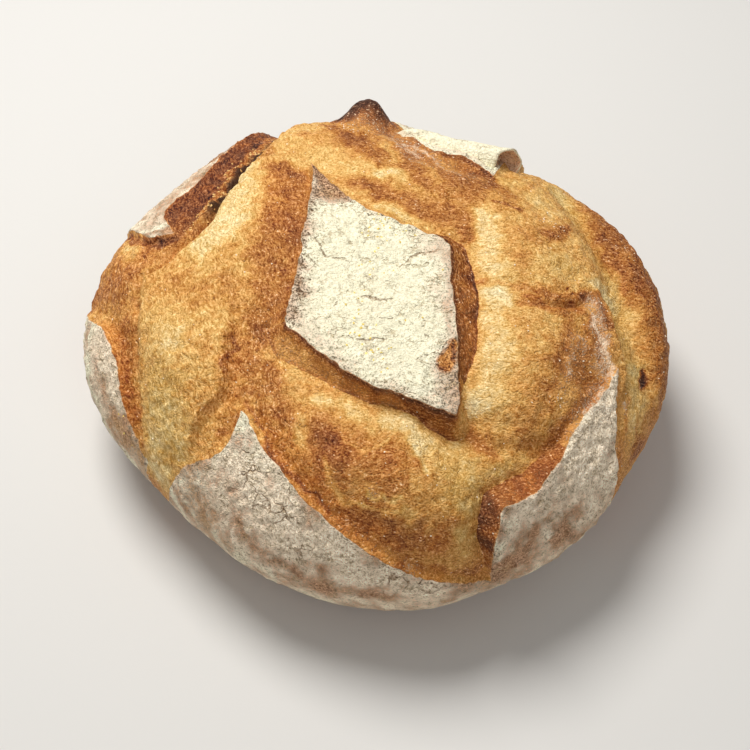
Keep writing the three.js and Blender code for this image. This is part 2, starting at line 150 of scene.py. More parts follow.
# Creases and ridges: u, v, depth, half width. A ridge has a depth below zero.
CREASES = [
    [(-46, 118, 2, 3), (-48, 98, 4, 2.6), (-51, 86, 4, 2.2), (-55.5, 75.5, 5, 1.9), (-61, 67, 5.5, 1.8),
     (-63.5, 58.5, 5.5, 1.8), (-65.5, 51.5, 5.5, 1.8), (-67.5, 45, 5.5, 1.8), (-69.5, 37.5, 5, 1.7),
     (-70.5, 30, 4, 1.6), (-72.5, 23.5, 3.5, 1.5), (-78.5, 16.5, 3, 1.3), (-85, 12.5, 2.5, 1.2),
     (-90, 6, 2, 1.2), (-96, 4, 1.6, 1.2), (-101, 3, 1.6, 1.2)],
    [(-101, 3, 1.6, 1.5), (-103, -15, 1.8, 2), (-110, -45, 1.8, 2), (-117, -72, 0, 3)],
    [(48, -21, 0, 2), (58, -22, 0.8, 1.6), (66, -22, 1.7, 1.5), (82, -17.5, 2.0, 1.5), (89, -13, 0.4, 2)],
    [(33, -78, 2, 3.5), (48, -87, 3, 4), (72, -84, 2, 4), (79, -80, 0, 3)],
    [(88, 62, 2, 6), (97, 25, 4, 7), (106, -6, 4, 7), (120, -34, 3.5, 6), (124, -50, 0, 5)],
    [(100, 70, 0, 9), (112, 30, -3.5, 10), (124, -5, -3.5, 10), (133, -45, -2, 10),
     (132, -80, 0, 9)],
]

# Broad swells: u, v, reach along, reach across, turn in degrees, rise.
SWELLS = [
    (-62, 18, 42, 17, 82, 4), (-86, -38, 34, 17, 100, 5), (-108, 8, 20, 12, 130, 2.5),
    (-8, -96, 42, 20, -30, 5), (34, -108, 24, 15, -40, 3), (64, -48, 30, 20, 95, 5.5),
    (62, 12, 27, 19, 90, 4), (-34, 84, 26, 18, 60, 2.5), (34, 44, 26, 14, -20, 2.5),
    (-2, 106, 9, 10, 0, 11.6), (-11, 104, 7, 9, 0, 4.5), (34, 104, 34, 20, -10, -7),
    (-2, -14, 26, 20, 0, -1.5), (27.8, -51.5, 5.5, 2.6, 75, -1.4),
    (-106, 92, 32, 16, 50, -2.5), (102, -116, 38, 26, 50, 4.5), (-148, -30, 45, 20, 90, 2),
    (-75, -140, 50, 22, -30, 3),
]


def smooth(x):
    """From 0 to 1 as x goes from 0 to 1, level at both ends."""
    x = np.clip(x, 0, 1)
    return x * x * (3 - 2 * x)


def dome_section(steps=2000):
    """The dome's half section as length of skin from the crown, radius and height."""
    a = np.linspace(0, math.pi / 2, steps)
    power = 2 / DOME_FULLNESS
    upper = DOME_RADIUS * np.sin(a) ** power, (DOME_HEIGHT - WAIST_HEIGHT) * np.cos(a).clip(0) ** power
    lower = BASE_RADIUS + (DOME_RADIUS - BASE_RADIUS) * np.cos(a[1:]), -WAIST_HEIGHT * np.sin(a[1:])
    radius = np.concatenate([upper[0], lower[0]])
    height = WAIST_HEIGHT + np.concatenate([upper[1], lower[1]])
    skin = np.concatenate([[0], np.cumsum(np.hypot(np.diff(radius), np.diff(height)))])
    return skin, radius, height


SKIN, RADIUS, HEIGHT = dome_section()
SKIN_END = SKIN[-1]
SKIN_WAIST = SKIN[RADIUS.argmax()]


def dome(u, v):
    """The plain dome's points, in millimetres. The outline's pull fades out at the crown."""
    angle = np.arctan2(v, u)
    skin = np.hypot(u, v)
    radius = np.interp(skin, SKIN, RADIUS)
    pull = sum(a * np.cos(k * angle) + b * np.sin(k * angle) for k, a, b in OUTLINE)
    radius = radius * (1 + pull * smooth(radius / DOME_RADIUS))
    return np.stack([radius * np.cos(angle), radius * np.sin(angle), np.interp(skin, SKIN, HEIGHT)], -1)


def dome_normal(u, v, step=0.5):
    """The plain dome's outward direction."""
    across = dome(u + step, v) - dome(u - step, v)
    along = dome(u, v + step) - dome(u, v - step)
    normal = np.cross(across, along)
    return normal / np.linalg.norm(normal, axis=-1, keepdims=True)


HILL_GRID = 64                  # after so many hills each way they come again
HILL_START = (31.7, 17.3)       # where in the grid the crown lies, between two hills


def hills(u, v, size, seed, octaves=1, stretch=(1, 1)):
    """Smooth random hills from about -1 to 1, one to each size of skin, half as big each octave."""
    total = np.zeros_like(u)
    for octave in range(octaves):
        slopes = np.random.default_rng(seed + octave).normal(size=(HILL_GRID, HILL_GRID, 2))
        x = u / (size * stretch[0]) * 2 ** octave + HILL_START[0]
        y = v / (size * stretch[1]) * 2 ** octave + HILL_START[1]
        i, j = np.floor(x).astype(int), np.floor(y).astype(int)
        x, y = x - i, y - j
        rise = 0
        for di in (0, 1):
            for dj in (0, 1):
                slope = slopes[(i + di) % HILL_GRID, (j + dj) % HILL_GRID]
                share = smooth(1 - np.abs(x - di)) * smooth(1 - np.abs(y - dj))
                rise = rise + share * (slope[..., 0] * (x - di) + slope[..., 1] * (y - dj))
        total += rise / 2 ** octave
    return total


def rounded(line, steps=5, sharp=50):
    """A line of points as a smooth curve, but for corners that turn more than `sharp` degrees."""
    line = np.array(line, float)
    way = np.diff(line[:, :2], axis=0)
    heading = np.degrees(np.arctan2(way[:, 1], way[:, 0]))
    turn = np.abs((np.diff(heading) + 180) % 360 - 180)
    corner = np.concatenate([[True], turn > sharp, [True]])
    points = []
    for i in range(len(line) - 1):
        a, b = line[i], line[i + 1]
        before = a if corner[i] else line[i - 1]
        after = b if corner[i + 1] else line[i + 2]
        for t in np.arange(steps) / steps:
            points.append(0.5 * (2 * a + (b - before) * t + (2 * before - 5 * a + 4 * b - after) * t ** 2
                                 + (3 * a - before - 3 * b + after) * t ** 3))
    points.append(line[-1])
    return np.array(points)


def nearest(line, u, v):
    """How far places are from a line (above zero on its right), and the line's values there."""
    gap = np.full(u.shape, np.inf)
    side = np.zeros_like(u)
    values = np.zeros(u.shape + (line.shape[1],))
    for a, b in zip(line[:-1], line[1:]):
        du, dv = b[:2] - a[:2]
        length = math.hypot(du, dv)
        if length < 1e-6:
            continue
        t = np.clip(((u - a[0]) * du + (v - a[1]) * dv) / length ** 2, 0, 1)
        here = np.hypot(u - a[0] - t * du, v - a[1] - t * dv)
        offset = ((u - a[0]) * dv - (v - a[1]) * du) / length
        tie = (np.abs(here - gap) < 1e-6) & (np.abs(offset) > np.abs(side))
        better = (here < gap - 1e-6) | tie
        gap = np.where(better, here, gap)
        side = np.where(better, offset, side)
        values[better] = a + t[better, None] * (b - a)
    return np.sign(side) * gap, values


def inside(outline, u, v):
    """Whether places lie inside a closed outline."""
    outline = np.asarray(outline)[:, :2]
    within = np.zeros(u.shape, bool)
    for (au, av), (bu, bv) in zip(outline, np.roll(outline, -1, axis=0)):
        if av != bv:
            within ^= ((av > v) != (bv > v)) & (u < (bu - au) * (v - av) / (bv - av) + au)
    return within


def swell(u, v, place):
    """A soft round or long hill of height 1."""
    at_u, at_v, along, across, turn = place
    turn = math.radians(turn)
    x = ((u - at_u) * math.cos(turn) + (v - at_v) * math.sin(turn)) / along
    y = ((v - at_v) * math.cos(turn) - (u - at_u) * math.sin(turn)) / across
    return np.exp(-(x ** 2 + y ** 2))


def stroke(u, v, line, crisp=2):
    """A stroke along a line of (u, v, half width), of strength 1, or a spot at one place."""
    if len(line) == 1:
        away, width = np.hypot(u - line[0][0], v - line[0][1]), line[0][2]
    else:
        away, values = nearest(rounded(line), u, v)
        width = values[..., 2]
    return np.exp(-np.abs(away / width) ** crisp)


ROUND_EDGES = {name: rounded(line) for name, line in EDGES.items()}
ROUND_CREASES = [rounded(line) for line in CREASES]


def wandered(u, v):
    """Places shifted a little, so that no drawn edge runs quite true."""
    du = 0.9 * hills(u, v, 9, 11) + 0.45 * hills(u, v, 3.5, 13) + 0.2 * hills(u, v, 1.6, 17)
    dv = 0.9 * hills(u, v, 9, 12) + 0.45 * hills(u, v, 3.5, 14) + 0.2 * hills(u, v, 1.6, 18)
    return u + du, v + dv


class Skin:
    """Everything that is known about a set of places on the skin."""

    def __init__(self, u, v):
        self.u, self.v = u, v
        self.wu, self.wv = wandered(u, v)       # where the drawn lines are looked for
        self.edge = {name: nearest(line, self.wu, self.wv) for name, line in ROUND_EDGES.items()}
        self.crease = [nearest(line, self.wu, self.wv) for line in ROUND_CREASES]
        within = []
        for name, way_round in PLATES.items():
            closed = list(ROUND_EDGES[name][:, :2]) + way_round
            away = np.abs(nearest(np.array(closed + closed[:1], float), self.wu, self.wv)[0])
            within.append(np.where(inside(closed, self.wu, self.wv), away, -away))
        self.skin = np.max(within, axis=0)      # how deep inside any plate of old skin
        past_waist = (np.hypot(u, v) - SKIN_WAIST) / (SKIN_END - SKIN_WAIST)
        self.below = smooth(past_waist / TUCK_FADE)


def cut_relief(away, values):
    """A plate lifts towards its edge, and the crust drops to the wall's foot and swells up again."""
    lift, wall, foot = values[..., 2], values[..., 3], values[..., 4]
    down = 1 - (1 - np.clip(away / np.maximum(wall, 1e-3), 0, 1)) ** 1.5
    beyond = -foot * np.exp(-np.maximum(away - wall, 0) / FOOT_REACH)
    slope = lift - (lift + foot) * down
    lifted = lift * np.exp(np.minimum(away, 0) / LIFT_REACH)
    return np.where(away <= 0, lifted, np.where(away < wall, slope, beyond))


def ear_relief(away, values, above_crack):
    """The ear's torn face drops into a crack, and the crust on its other side stands up at once."""
    rise = cut_relief(away, values)
    beyond = -values[..., 4] * np.exp(-np.maximum(away - values[..., 3], 0) / EAR_FOOT_REACH)
    rise = np.where(away < values[..., 3], rise, beyond)
    return np.where(rise < 0, rise * np.exp(np.minimum(above_crack, 0) / CRACK_REACH), rise)


def face_depth(place):
    """How far above the ear's crack a place is, below zero on the crack's other side."""
    return place.crease[0][0]


def bare_relief(place):
    """Bare crust: soft lumps, small bumps and thin wrinkles."""
    wrinkled = 1 - np.abs(hills(place.wu, place.wv, 7, 25, 3)) * 2
    return (0.7 * hills(place.u, place.v, 10, 21, 2) + 0.45 * hills(place.u, place.v, 3.2, 23, 2)
            + 0.35 * wrinkled)


def floured_relief(place):
    """Floured skin: curds of dried flour, lower on the outer plates, with slanting lumps on one."""
    u, v = place.u, place.v
    curds = np.abs(hills(place.wu, place.wv, 6, 31, 2)) ** 0.7 + 0.5 * np.abs(hills(u, v, 2.6, 35)) ** 0.7
    outer = smooth((np.hypot(u, v) - 70) / 14)
    front_right = outer * smooth((u - 50) / 20) * smooth((-v - 30) / 20)
    slanting = hills((u - v) * 0.7, (u + v) * 0.7, 3.4, 45, 2, (1, 2.2))
    return ((1.3 - 0.4 * outer) * curds + (0.35 + 0.2 * outer) * hills(u, v, 2.2, 33)
            + 0.9 * front_right * slanting)


def torn_relief(place):
    """Crumb that tore into points along the foot of the ear's face."""
    u, v, above_crack = place.u, place.v, face_depth(place)
    torn = smooth((above_crack + 1) / 2) * (1 - smooth((above_crack - 5) / 4))
    torn = torn * smooth((v - 8) / 10) * smooth((84 - v) / 10)
    return torn * (1.6 * hills(u, v, 3.6, 37, 2) + 0.9 * np.abs(hills(u, v, 1.9, 39)))


def relief(place):
    """The height of the crust over the plain dome. It fades out in the tuck under the waist."""
    rise = sum(cut_relief(*edge) for name, edge in place.edge.items() if name != "ear")
    rise = rise + ear_relief(*place.edge["ear"], face_depth(place))
    for away, values in place.crease:
        rise = rise - values[..., 2] * np.exp(-(away / values[..., 3]) ** 2)
    rise = rise + sum(s[5] * swell(place.u, place.v, s[:5]) for s in SWELLS)
    rise = rise + BROAD_WAVES * hills(place.u, place.v, 38, 1, 2)
    on_skin = smooth(0.5 + place.skin)
    rise = rise + (1 - on_skin) * bare_relief(place) + on_skin * floured_relief(place)
    return (rise + torn_relief(place)) * (1 - place.below)


CORNER_GAP = 1.04       # between corners of the fine lattice
FINE_REACH = 150.0      # how far from the crown it reaches
RING_GROWTH = 1.25      # how much wider each ring past it is than the last
TUCK_RINGS = 24         # from the waist to the base
BASE_GAP = 4.0          # between corners of the flat base
TO_THE_RIM = 0.97       # how far out towards its rim its inner corners go


def crust_places():
    """Corners for the crust: an even lattice over the top, then wider rings towards the waist."""
    row = CORNER_GAP * math.sin(math.pi / 3)
    half = int(FINE_REACH / row) + 2
    i, j = np.meshgrid(np.arange(-half, half + 1), np.arange(-half, half + 1))
    u = (i + 0.5 * (j % 2)) * CORNER_GAP
    v = j * row
    keep = np.hypot(u, v) < FINE_REACH
    u, v = u[keep], v[keep]

    # corners that are close to an edge or a sharp crease are moved onto it
    wu, wv = wandered(u, v)
    for line in list(ROUND_EDGES.values()) + ROUND_CREASES[:3]:
        away, values = nearest(line, wu, wv)
        close = np.abs(away) < 0.46 * CORNER_GAP
        u = np.where(close, u + values[..., 0] - wu, u)
        v = np.where(close, v + values[..., 1] - wv, v)

    # wider and wider rings, the last of them on the waist
    rings, radius, gap = [], FINE_REACH, CORNER_GAP
    while radius < SKIN_WAIST:
        radius += gap
        gap *= RING_GROWTH
        count = int(2 * math.pi * radius / max(gap, 1.2))
        rings.append((min(radius, SKIN_WAIST), count))
    for radius, count in rings:
        angle = np.arange(count) * 2 * math.pi / count
        u = np.concatenate([u, radius * np.cos(angle)])
        v = np.concatenate([v, radius * np.sin(angle)])
    return u, v, rings[-1][1]


def crust_mesh():
    """The crust as a closed mesh: the top, the tuck under the waist and the flat base.
    Returned with its places and with how many corners of the base have none."""
    u, v, waist_corners = crust_places()
    _, _, faces, origin, _, _ = delaunay_2d_cdt([Vector(p) for p in zip(u, v)], [], [], 0, 1e-7)
    order = np.array([o[0] for o in origin])
    u, v = u[order], v[order]
    ring = [int(np.flatnonzero(order == len(order) - waist_corners + k)[0]) for k in range(waist_corners)]
    faces = [tuple(f) for f in faces]

    # the tuck, ring by ring down to the base
    angle = np.arange(waist_corners) * 2 * math.pi / waist_corners
    for step in range(1, TUCK_RINGS + 1):
        radius = SKIN_WAIST + (SKIN_END - SKIN_WAIST) * step / TUCK_RINGS
        start = len(u)
        u = np.concatenate([u, radius * np.cos(angle)])
        v = np.concatenate([v, radius * np.sin(angle)])
        lower = list(range(start, start + waist_corners))
        for k in range(waist_corners):
            n = (k + 1) % waist_corners
            faces += [(ring[k], lower[k], lower[n]), (ring[k], lower[n], ring[n])]
        ring = lower
    place = Skin(u, v)
    body = dome(u, v) + dome_normal(u, v) * relief(place)[:, None]

    # the flat base inside the last ring
    rim = body[ring]
    half = int(1.6 * BASE_RADIUS / BASE_GAP)
    i, j = np.meshgrid(np.arange(-half, half + 1), np.arange(-half, half + 1))
    x, y = (i + 0.5 * (j % 2)) * BASE_GAP, j * BASE_GAP * math.sin(math.pi / 3)
    edge = np.interp(np.arctan2(y, x) % (2 * math.pi), angle, np.hypot(rim[:, 0], rim[:, 1]))
    within = np.hypot(x, y) < TO_THE_RIM * edge - 1
    x, y = x[within], y[within]
    flat = [Vector(p) for p in zip(np.concatenate([rim[:, 0], x]), np.concatenate([rim[:, 1], y]))]
    _, _, base_faces, origin, _, _ = delaunay_2d_cdt(flat, [], [], 0, 1e-7)
    base = np.array([o[0] for o in origin])
    start = len(body)
    on_rim = np.array(ring)[np.minimum(base, len(ring) - 1)]
    number = np.where(base < len(ring), on_rim, start + base - len(ring))
    faces += [tuple(int(number[k]) for k in reversed(f)) for f in base_faces]
    body = np.concatenate([body, np.stack([x, y, np.zeros_like(x)], -1)])
    return body, faces, place, len(x)


body, faces, place, base_corners = crust_mesh()

# The widest cut walls pull the skin out past the plain dome, so the whole is fitted, by less
# than a hundredth, between the solid's lowest and highest corners.
low, high = (np.array(corner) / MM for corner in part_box("loaf"))
FIT_ROOM = 0.15         # left free on each side
span = np.minimum((high - low - 2 * FIT_ROOM) / (body.max(0) - body.min(0)), 1.0)
middle = (body.max(0) + body.min(0)) / 2


def fitted(points):
    """Points of the loaf as it was shaped, fitted to the solid."""
    across = (points[:, :2] - middle[:2]) * span[:2] + (low[:2] + high[:2]) / 2
    return np.column_stack([across, points[:, 2] * span[2]])


body = fitted(body)
body[:, 2] = np.maximum(body[:, 2], 0)

# --- The crust: its browning and its flour ----------------------------------------------------
# Wheat crust from straw yellow, where it tore last, to chestnut, where it stood up to the heat.
# The baker's flour is left thick on the old skin and as dust on the rest.

# Browning that is added, with some painted shade and shadow among it: how much, how crisp its edge is,
# then u, v and half width along it.
BROWNING_AND_SHADE = [
    # left of the middle plate
    (0.22, 4, [(-44, 56, 6), (-40, 42, 9), (-42, 15, 10), (-44, -10, 10), (-46, -34, 9)]),
    (0.08, 3, [(-46, 57, 4), (-36, 52, 4), (-35, 40, 5), (-37, 10, 5)]),
    (-0.22, 3, [(-58, 62, 5), (-60, 45, 9), (-64, 22, 10), (-72, 10, 8)]), (0.14, 3, [(-50, 72, 5)]),
    (0.18, 3, [(-35, 52, 4)]), (-0.06, 2, [(-90, -20, 12), (-93, -45, 12), (-100, -80, 16)]),
    (-0.12, 2, [(-98, -62, 12), (-98, -84, 10)]), (-0.26, 3, [(-110, -97, 9), (-120, -88, 8)]),
    (0.08, 2, [(-84, -8, 9), (-66, -14, 7)]), (-0.08, 2, [(-84, -36, 9)]),
    (0.20, 2, [(-146, 25, 12), (-127, 14, 14), (-112, 2, 9)]),
    (-0.16, 3, [(-104, 22, 7), (-112, 30, 5)]),
    (0.16, 2, [(-113, -18, 6), (-116, -42, 4), (-119, -64, 3)]),
    (0.12, 3, [(-54, -40, 8), (-60, -62, 7)]), (0.16, 3, [(-62, -76, 4), (-70, -81, 3)]),
    (0.14, 3, [(-91, 10, 4), (-101, 11, 4)]), (0.02, 3, [(-68, -70, 7), (-82, -86, 8)]),
    # painted shadow: thin dark lines below the bulge's step and along the front plate's edge
    (0.26, 2, [(-62.5, -38, 1.0), (-65, -54, 1.0)]),
    (0.26, 2, [(-58, -71, 1.0), (-47, -87, 1.0), (-36, -101, 1.0), (-22, -114, 0.8)]),
    (-0.18, 3, [(-43, -37, 5)]), (0.18, 3, [(-52, -52, 4), (-43, -61, 5)]),
    (-0.16, 3, [(-111, -77, 7)]),
    # the front crust
    (0.16, 3, [(-50, -66, 8), (-40, -78, 9), (-22, -86, 9)]),
    (-0.14, 3, [(-24, -69, 3), (-6, -75, 3.5)]), (-0.20, 3, [(2, -77, 4), (10, -79, 4), (18, -86, 5)]),
    (-0.24, 3, [(-32, -78, 3.6), (-31, -88, 3.4)]), (0.12, 3, [(-26, -94, 6), (-17, -99, 6)]),
    (0.09, 3, [(-16, -86, 5), (-12, -98, 6), (6, -96, 8), (15, -92, 5)]), (0.06, 2, [(-16, -92, 12)]),
    (0.08, 3, [(-8, -100, 20), (16, -112, 18)]), (0.07, 3, [(-40, -76, 9), (-24, -84, 6)]),
    (0.08, 3, [(-4, -92, 9), (6, -88, 7)]),
    (0.13, 3, [(-46, -88, 5), (-36, -99, 6), (-20, -110, 8), (0, -122, 9), (22, -122, 8),
         (30, -116, 4)]),
    (0.08, 3, [(2, -110, 8), (8, -104, 6)]), (0.06, 2, [(0, -118, 10), (18, -130, 9)]),
    (-0.10, 3, [(30, -92, 11), (37, -106, 8)]), (0.10, 2, [(36, -126, 7)]),
    (0.14, 3, [(8, -134, 2.5), (28, -140, 3), (48, -142, 3)]),
    (-0.22, 2, [(-21, -94, 1.4), (-20, -101, 2.6), (-15, -107, 2.2), (-8, -109, 1.2), (2, -111, 0.8)]),
    (-0.26, 2, [(-5, -104, 0.8), (-2, -106, 1.1), (2, -104.5, 0.8), (6, -108, 1.2), (11, -107, 0.8)]),
    (-0.20, 3, [(3, -113, 3), (12, -113, 3)]),
    (-0.24, 2, [(14, -86, 0.9), (16, -92, 1.4), (20, -98, 0.9)]),
    (-0.14, 2, [(-12, -86, 0.7), (-4, -89, 0.8), (4, -85, 0.7), (10, -81, 0.5)]),
    (-0.14, 3, [(37, -125, 6)]),
    # over the middle plate
    (-0.08, 2, [(-34, 84, 14), (-24, 60, 9), (-8, 54, 7)]),
    (0.26, 4, [(-24, 92, 4), (-14, 80, 6), (-4, 68, 6), (3, 58, 4)]),
    (0.21, 4, [(-12, 42, 3), (-4, 42, 5), (6, 34, 6), (18, 28, 8), (33, 22, 8), (38, 12, 4)]),
    (0.04, 3, [(16, 72, 8), (30, 62, 9), (44, 56, 6)]), (0.08, 2, [(-5, 42, 3), (16, 26, 5)]),
    (0.28, 4, [(14, 72, 7), (20, 56, 10), (32, 46, 13), (44, 52, 10)]),
    (0.14, 3, [(30, 67, 3), (44, 63, 4), (52, 54, 3), (48, 42, 4), (40, 32, 5)]),
    (0.20, 3, [(-14, 102, 7), (0, 100, 10), (10, 90, 8), (14, 80, 6)]),
    (0.38, 4, [(-14, 107, 9), (2, 109, 11)]), (0.12, 3, [(-16, 97, 6), (0, 95, 8)]),
    (0.16, 3, [(-12, 83, 6), (6, 83, 7)]), (0.16, 3, [(13, 43, 5)]),
    (-0.22, 3, [(3, 28, 4), (15, 21, 3)]), (0.12, 3, [(-18, 75, 5), (-35, 83, 4)]),
    (-0.18, 3, [(5, 59, 4)]), (-0.18, 3, [(20, 59, 4), (29, 44, 4)]),
    (-0.22, 3, [(0, 50, 3), (12, 46, 4)]), (-0.06, 2, [(4, 29, 4)]),
    (0.14, 3, [(56, 46, 6), (58, 34, 4)]), (0.34, 2, [(50, 31, 1.0), (62, 29, 1.0)]),
    # right of it
    (-0.18, 3, [(46, 24, 4), (47, 5, 5), (48, -18, 6), (48, -45, 7), (43, -68, 6)]),
    # the small dark spots at (77, -10) and (80, -12.5) are painted shade standing for little holes
    (-0.14, 2, [(74, 40, 8)]), (0.12, 2, [(64, 16, 9)]), (0.45, 3, [(77, -10, 0.8)]),
    (0.40, 3, [(80, -12.5, 0.7)]), (0.30, 4, [(73, 17, 4), (78, 20, 5), (83, 24, 3)]),
    (-0.08, 2, [(76, 0, 10)]),
    (0.20, 3, [(40, -10, 1.4), (50, -13.7, 1.6), (66, -16, 2.2), (84, -14, 3.0)]),
    (-0.14, 3, [(42, -17, 2.5), (54, -20, 2)]),
    # painted shadow: a thin dark line beneath the slit
    (0.22, 2, [(60, -23.5, 1.6), (74, -23, 1.8), (84, -19, 2)]),
    (0.24, 3, [(61, -20, 1.2), (72, -20, 1.4), (80, -17.5, 1.4)]),
    (0.30, 4, [(85, -12, 3), (90, -11, 3), (97, -24, 3)]), (0.08, 3, [(82, -32, 8), (74, -48, 10)]),
    (0.10, 3, [(66, -66, 10), (62, -82, 6)]), (0.16, 3, [(90, -20, 5), (93, -32, 6), (88, -50, 8)]),
    (0.18, 3, [(93, -54, 4), (90, -62, 3)]), (0.26, 3, [(86, -62, 4), (79, -73, 4), (74, -82, 3)]),
    (0.14, 3, [(80, -24, 4), (74, -44, 3), (68, -62, 3)]),
    (0.20, 3, [(88, -22, 1.6), (93, -34, 1.6), (97, -48, 1.4)]),
    (0.24, 3, [(37, -79, 2.5), (48, -87, 4)]), (0.10, 2, [(58, -90, 3), (70, -84, 3)]),
    (-0.10, 3, [(50, -94, 3), (62, -90, 3)]),
    (0.12, 2, [(98, -14, 1.5), (104, -32, 1.5), (109, -48, 1.5)]),
    (0.10, 3, [(85, -38, 7), (82, -52, 8)]), (-0.14, 3, [(38, -69, 4)]),
    # the far rim
    (-0.08, 3, [(88, 62, 7), (96, 36, 7), (103, 8, 6), (113, -18, 6), (119, -46, 8)]),
    (-0.10, 2, [(98, -8, 4), (106, -26, 3)]),
    (0.24, 3, [(98, 66, 7), (107, 38, 10), (116, 14, 11), (127, -10, 10), (133, -40, 9),
         (132, -70, 8)]),
    (0.08, 3, [(108, 40, 6), (112, 28, 7), (120, 4, 7), (131, -20, 5)]), (-0.16, 2, [(118, -62, 10)]),
    # the dark spot at (120, -34) is painted shade standing for a little hole
    (0.16, 2, [(98, 28, 7), (104, 12, 5)]), (0.60, 4, [(120, -34, 1.0), (124, -41, 2.0)]),
    (0.16, 2, [(102, 32, 1), (107, 13, 1.3), (113, -6, 1)]),
    (0.12, 2, [(106, 28, 0.8), (112, 9, 1.1), (118, -12, 0.8)]),
    (0.12, 2, [(97, 44, 0.8), (101, 26, 1), (104, 6, 0.8)]), (-0.22, 3, [(94, 68, 7), (94, 56, 6)]),
    (-0.22, 3, [(93, -4, 4), (101, -6, 5)]), (-0.16, 3, [(109, 19, 5)]), (-0.16, 3, [(116, -37, 5)]),
    (0.02, 2, [(114, -66, 10), (122, -90, 12)]), (0.20, 2, [(112, -52, 1), (114, -66, 1)]),
    (0.20, 2, [(120, -56, 1), (123, -68, 1)]), (-0.18, 3, [(131, -44, 5), (134, -60, 6)]),
    # under the ear's curl: darker below its tip, and a thin dark line of painted shadow along its lower
    # edge; and browning on its far end
    (0.34, 3, [(-80, 21, 5), (-87, 18, 5)]), (0.14, 2, [(-76, 27, 5)]),
    (0.30, 3, [(-64, 108, 8), (-58, 126, 8)]),
    # painted shadow: the thin dark line along the curl's lower edge
    (0.42, 3, [(-86, 20, 1.6), (-96, 21, 1.8), (-105, 28, 1.8), (-114, 37, 1.5), (-128, 51, 1.4)]),
]

# The cut walls' own browning and flour.
WALL_BROWNING = [
    (-0.20, 3, [(-42, -46, 9), (-32, -54, 7), (-18, -62, 5)]), (-0.14, 3, [(-8, -66, 4), (6, -71, 4)]),
    (-0.03, 3, [(20, -76, 4), (28, -81, 6)]), (-0.34, 4, [(36, -63, 3), (37.5, -73, 5), (37, -82, 5)]),
    (0.12, 2, [(40, 4, 3), (41, -14, 2), (42, -30, 2)]), (0.04, 2, [(74, -92, 6), (62, -102, 5)]),
    (0.16, 3, [(48, -108, 4), (45, -116, 4), (46, -126, 3)]),
]
WALL_FLOUR = [
    (0.24, 3, [(-42, -48, 9), (-30, -56, 7), (-16, -63, 5), (-6, -67, 3), (5, -70, 4)]),
    (0.16, 2, [(36, -20, 6), (36, -46, 6), (34, -60, 6)]), (0.10, 2, [(24, -78, 6)]),
    (0.30, 2, [(98, -50, 4), (90, -66, 5), (83, -79, 5)]), (0.16, 2, [(70, -96, 6), (50, -108, 5)]),
]

# Warmth: above zero it leans to orange, below to olive.
WARMTH = [
    (-0.8, 2, [(-98, -55, 12), (-102, -84, 16)]),
    # in the groove the olive, which also darkens, is partly painted shade
    (-0.7, 2, [(90, 60, 9), (98, 30, 8), (106, -2, 6), (117, -40, 8)]),
    (-0.5, 2, [(34, -98, 13), (40, -118, 10)]), (-0.6, 2, [(14, -122, 10), (-18, -98, 5)]),
    (-0.5, 2, [(-64, 58, 5), (-70, 34, 5)]), (-0.5, 2, [(58, 44, 8), (62, 60, 6)]),
    (-0.4, 2, [(78, -2, 8)]), (-0.5, 2, [(50, -92, 4), (64, -90, 3)]),
    (0.6, 2, [(-114, -16, 7), (-118, -60, 5)]), (0.5, 2, [(-60, -50, 7), (-66, -70, 6)]),
    (0.3, 2, [(-80, -86, 8)]), (0.5, 2, [(-140, 20, 14), (-106, 16, 12)]),
    (0.9, 3, [(-48, -84, 7), (-20, -108, 9), (0, -122, 8), (24, -124, 7)]),
    (0.6, 3, [(-16, -88, 8), (8, -94, 8)]), (0.8, 2, [(105, 20, 4), (110, -4, 4), (119, -26, 5)]),
    (0.4, 2, [(104, 58, 6), (128, -10, 8), (134, -60, 8)]),
    (1.3, 3, [(-85, 45, 12), (-80, 62, 12), (-66, 100, 10)]), (0.4, 2, [(62, -12, 3), (84, -14, 4)]),
    (0.2, 2, [(-36, 80, 14)]), (0.5, 2, [(38, -10, 5), (36, -50, 5)]),
    (0.5, 2, [(-44, 50, 6), (-40, 20, 6)]), (0.4, 2, [(66, -98, 8), (48, -112, 6)]),
    (0.4, 2, [(88, -60, 8)]), (1.6, 4, [(-66, -112, 22), (-30, -138, 22), (20, -158, 18)]),
    (1.6, 4, [(76, -122, 24), (100, -84, 20), (102, -56, 10)]),
    (1.2, 4, [(-132, -64, 14), (-126, -20, 9)]), (0.6, 3, [(60, -21, 3), (80, -19, 3)]),
    (1.2, 4, [(-104, 44, 9), (-96, 70, 14), (-80, 110, 16)]),
]

# Where the old skin crackled more than elsewhere.
CRACKLED = [
    (1.0, 3, [(-70, -90, 12), (-54, -106, 13), (-36, -126, 12)]),
    (1.0, 3, [(0, -146, 10), (24, -146, 10)]), (0.9, 3, [(-32, 34, 8), (-33, 4, 9), (-35, -24, 7)]),
    (0.7, 3, [(26, -6, 5), (14, 10, 5)]), (0.5, 3, [(0, -54, 7)]), (0.5, 2, [(-126, -30, 12)]),
    (0.6, 2, [(100, -62, 10)]),
]

# The old skin's own browning, where it lies bare.
SKIN_BROWNING = [
    (-0.28, 2, [(-133, -58, 9), (-126, -84, 10)]), (-0.22, 2, [(-94, -100, 12), (-88, -124, 14)]),
    (-0.02, 3, [(28, -51, 6)]), (0.34, 3, [(30.5, -46, 1.2), (30.2, -52, 1.0)]),
    (0.30, 3, [(24.4, -54, 1.0), (25.4, -58, 1.2)]), (0.10, 2, [(-26, 48, 8)]),
]

# A thumbnail's oval where the flour came off with the outermost skin.
RUBBED_OFF = [(29.6, -46.5, 2.4), (28.2, -51, 3.5), (26.6, -55.5, 2.9)]

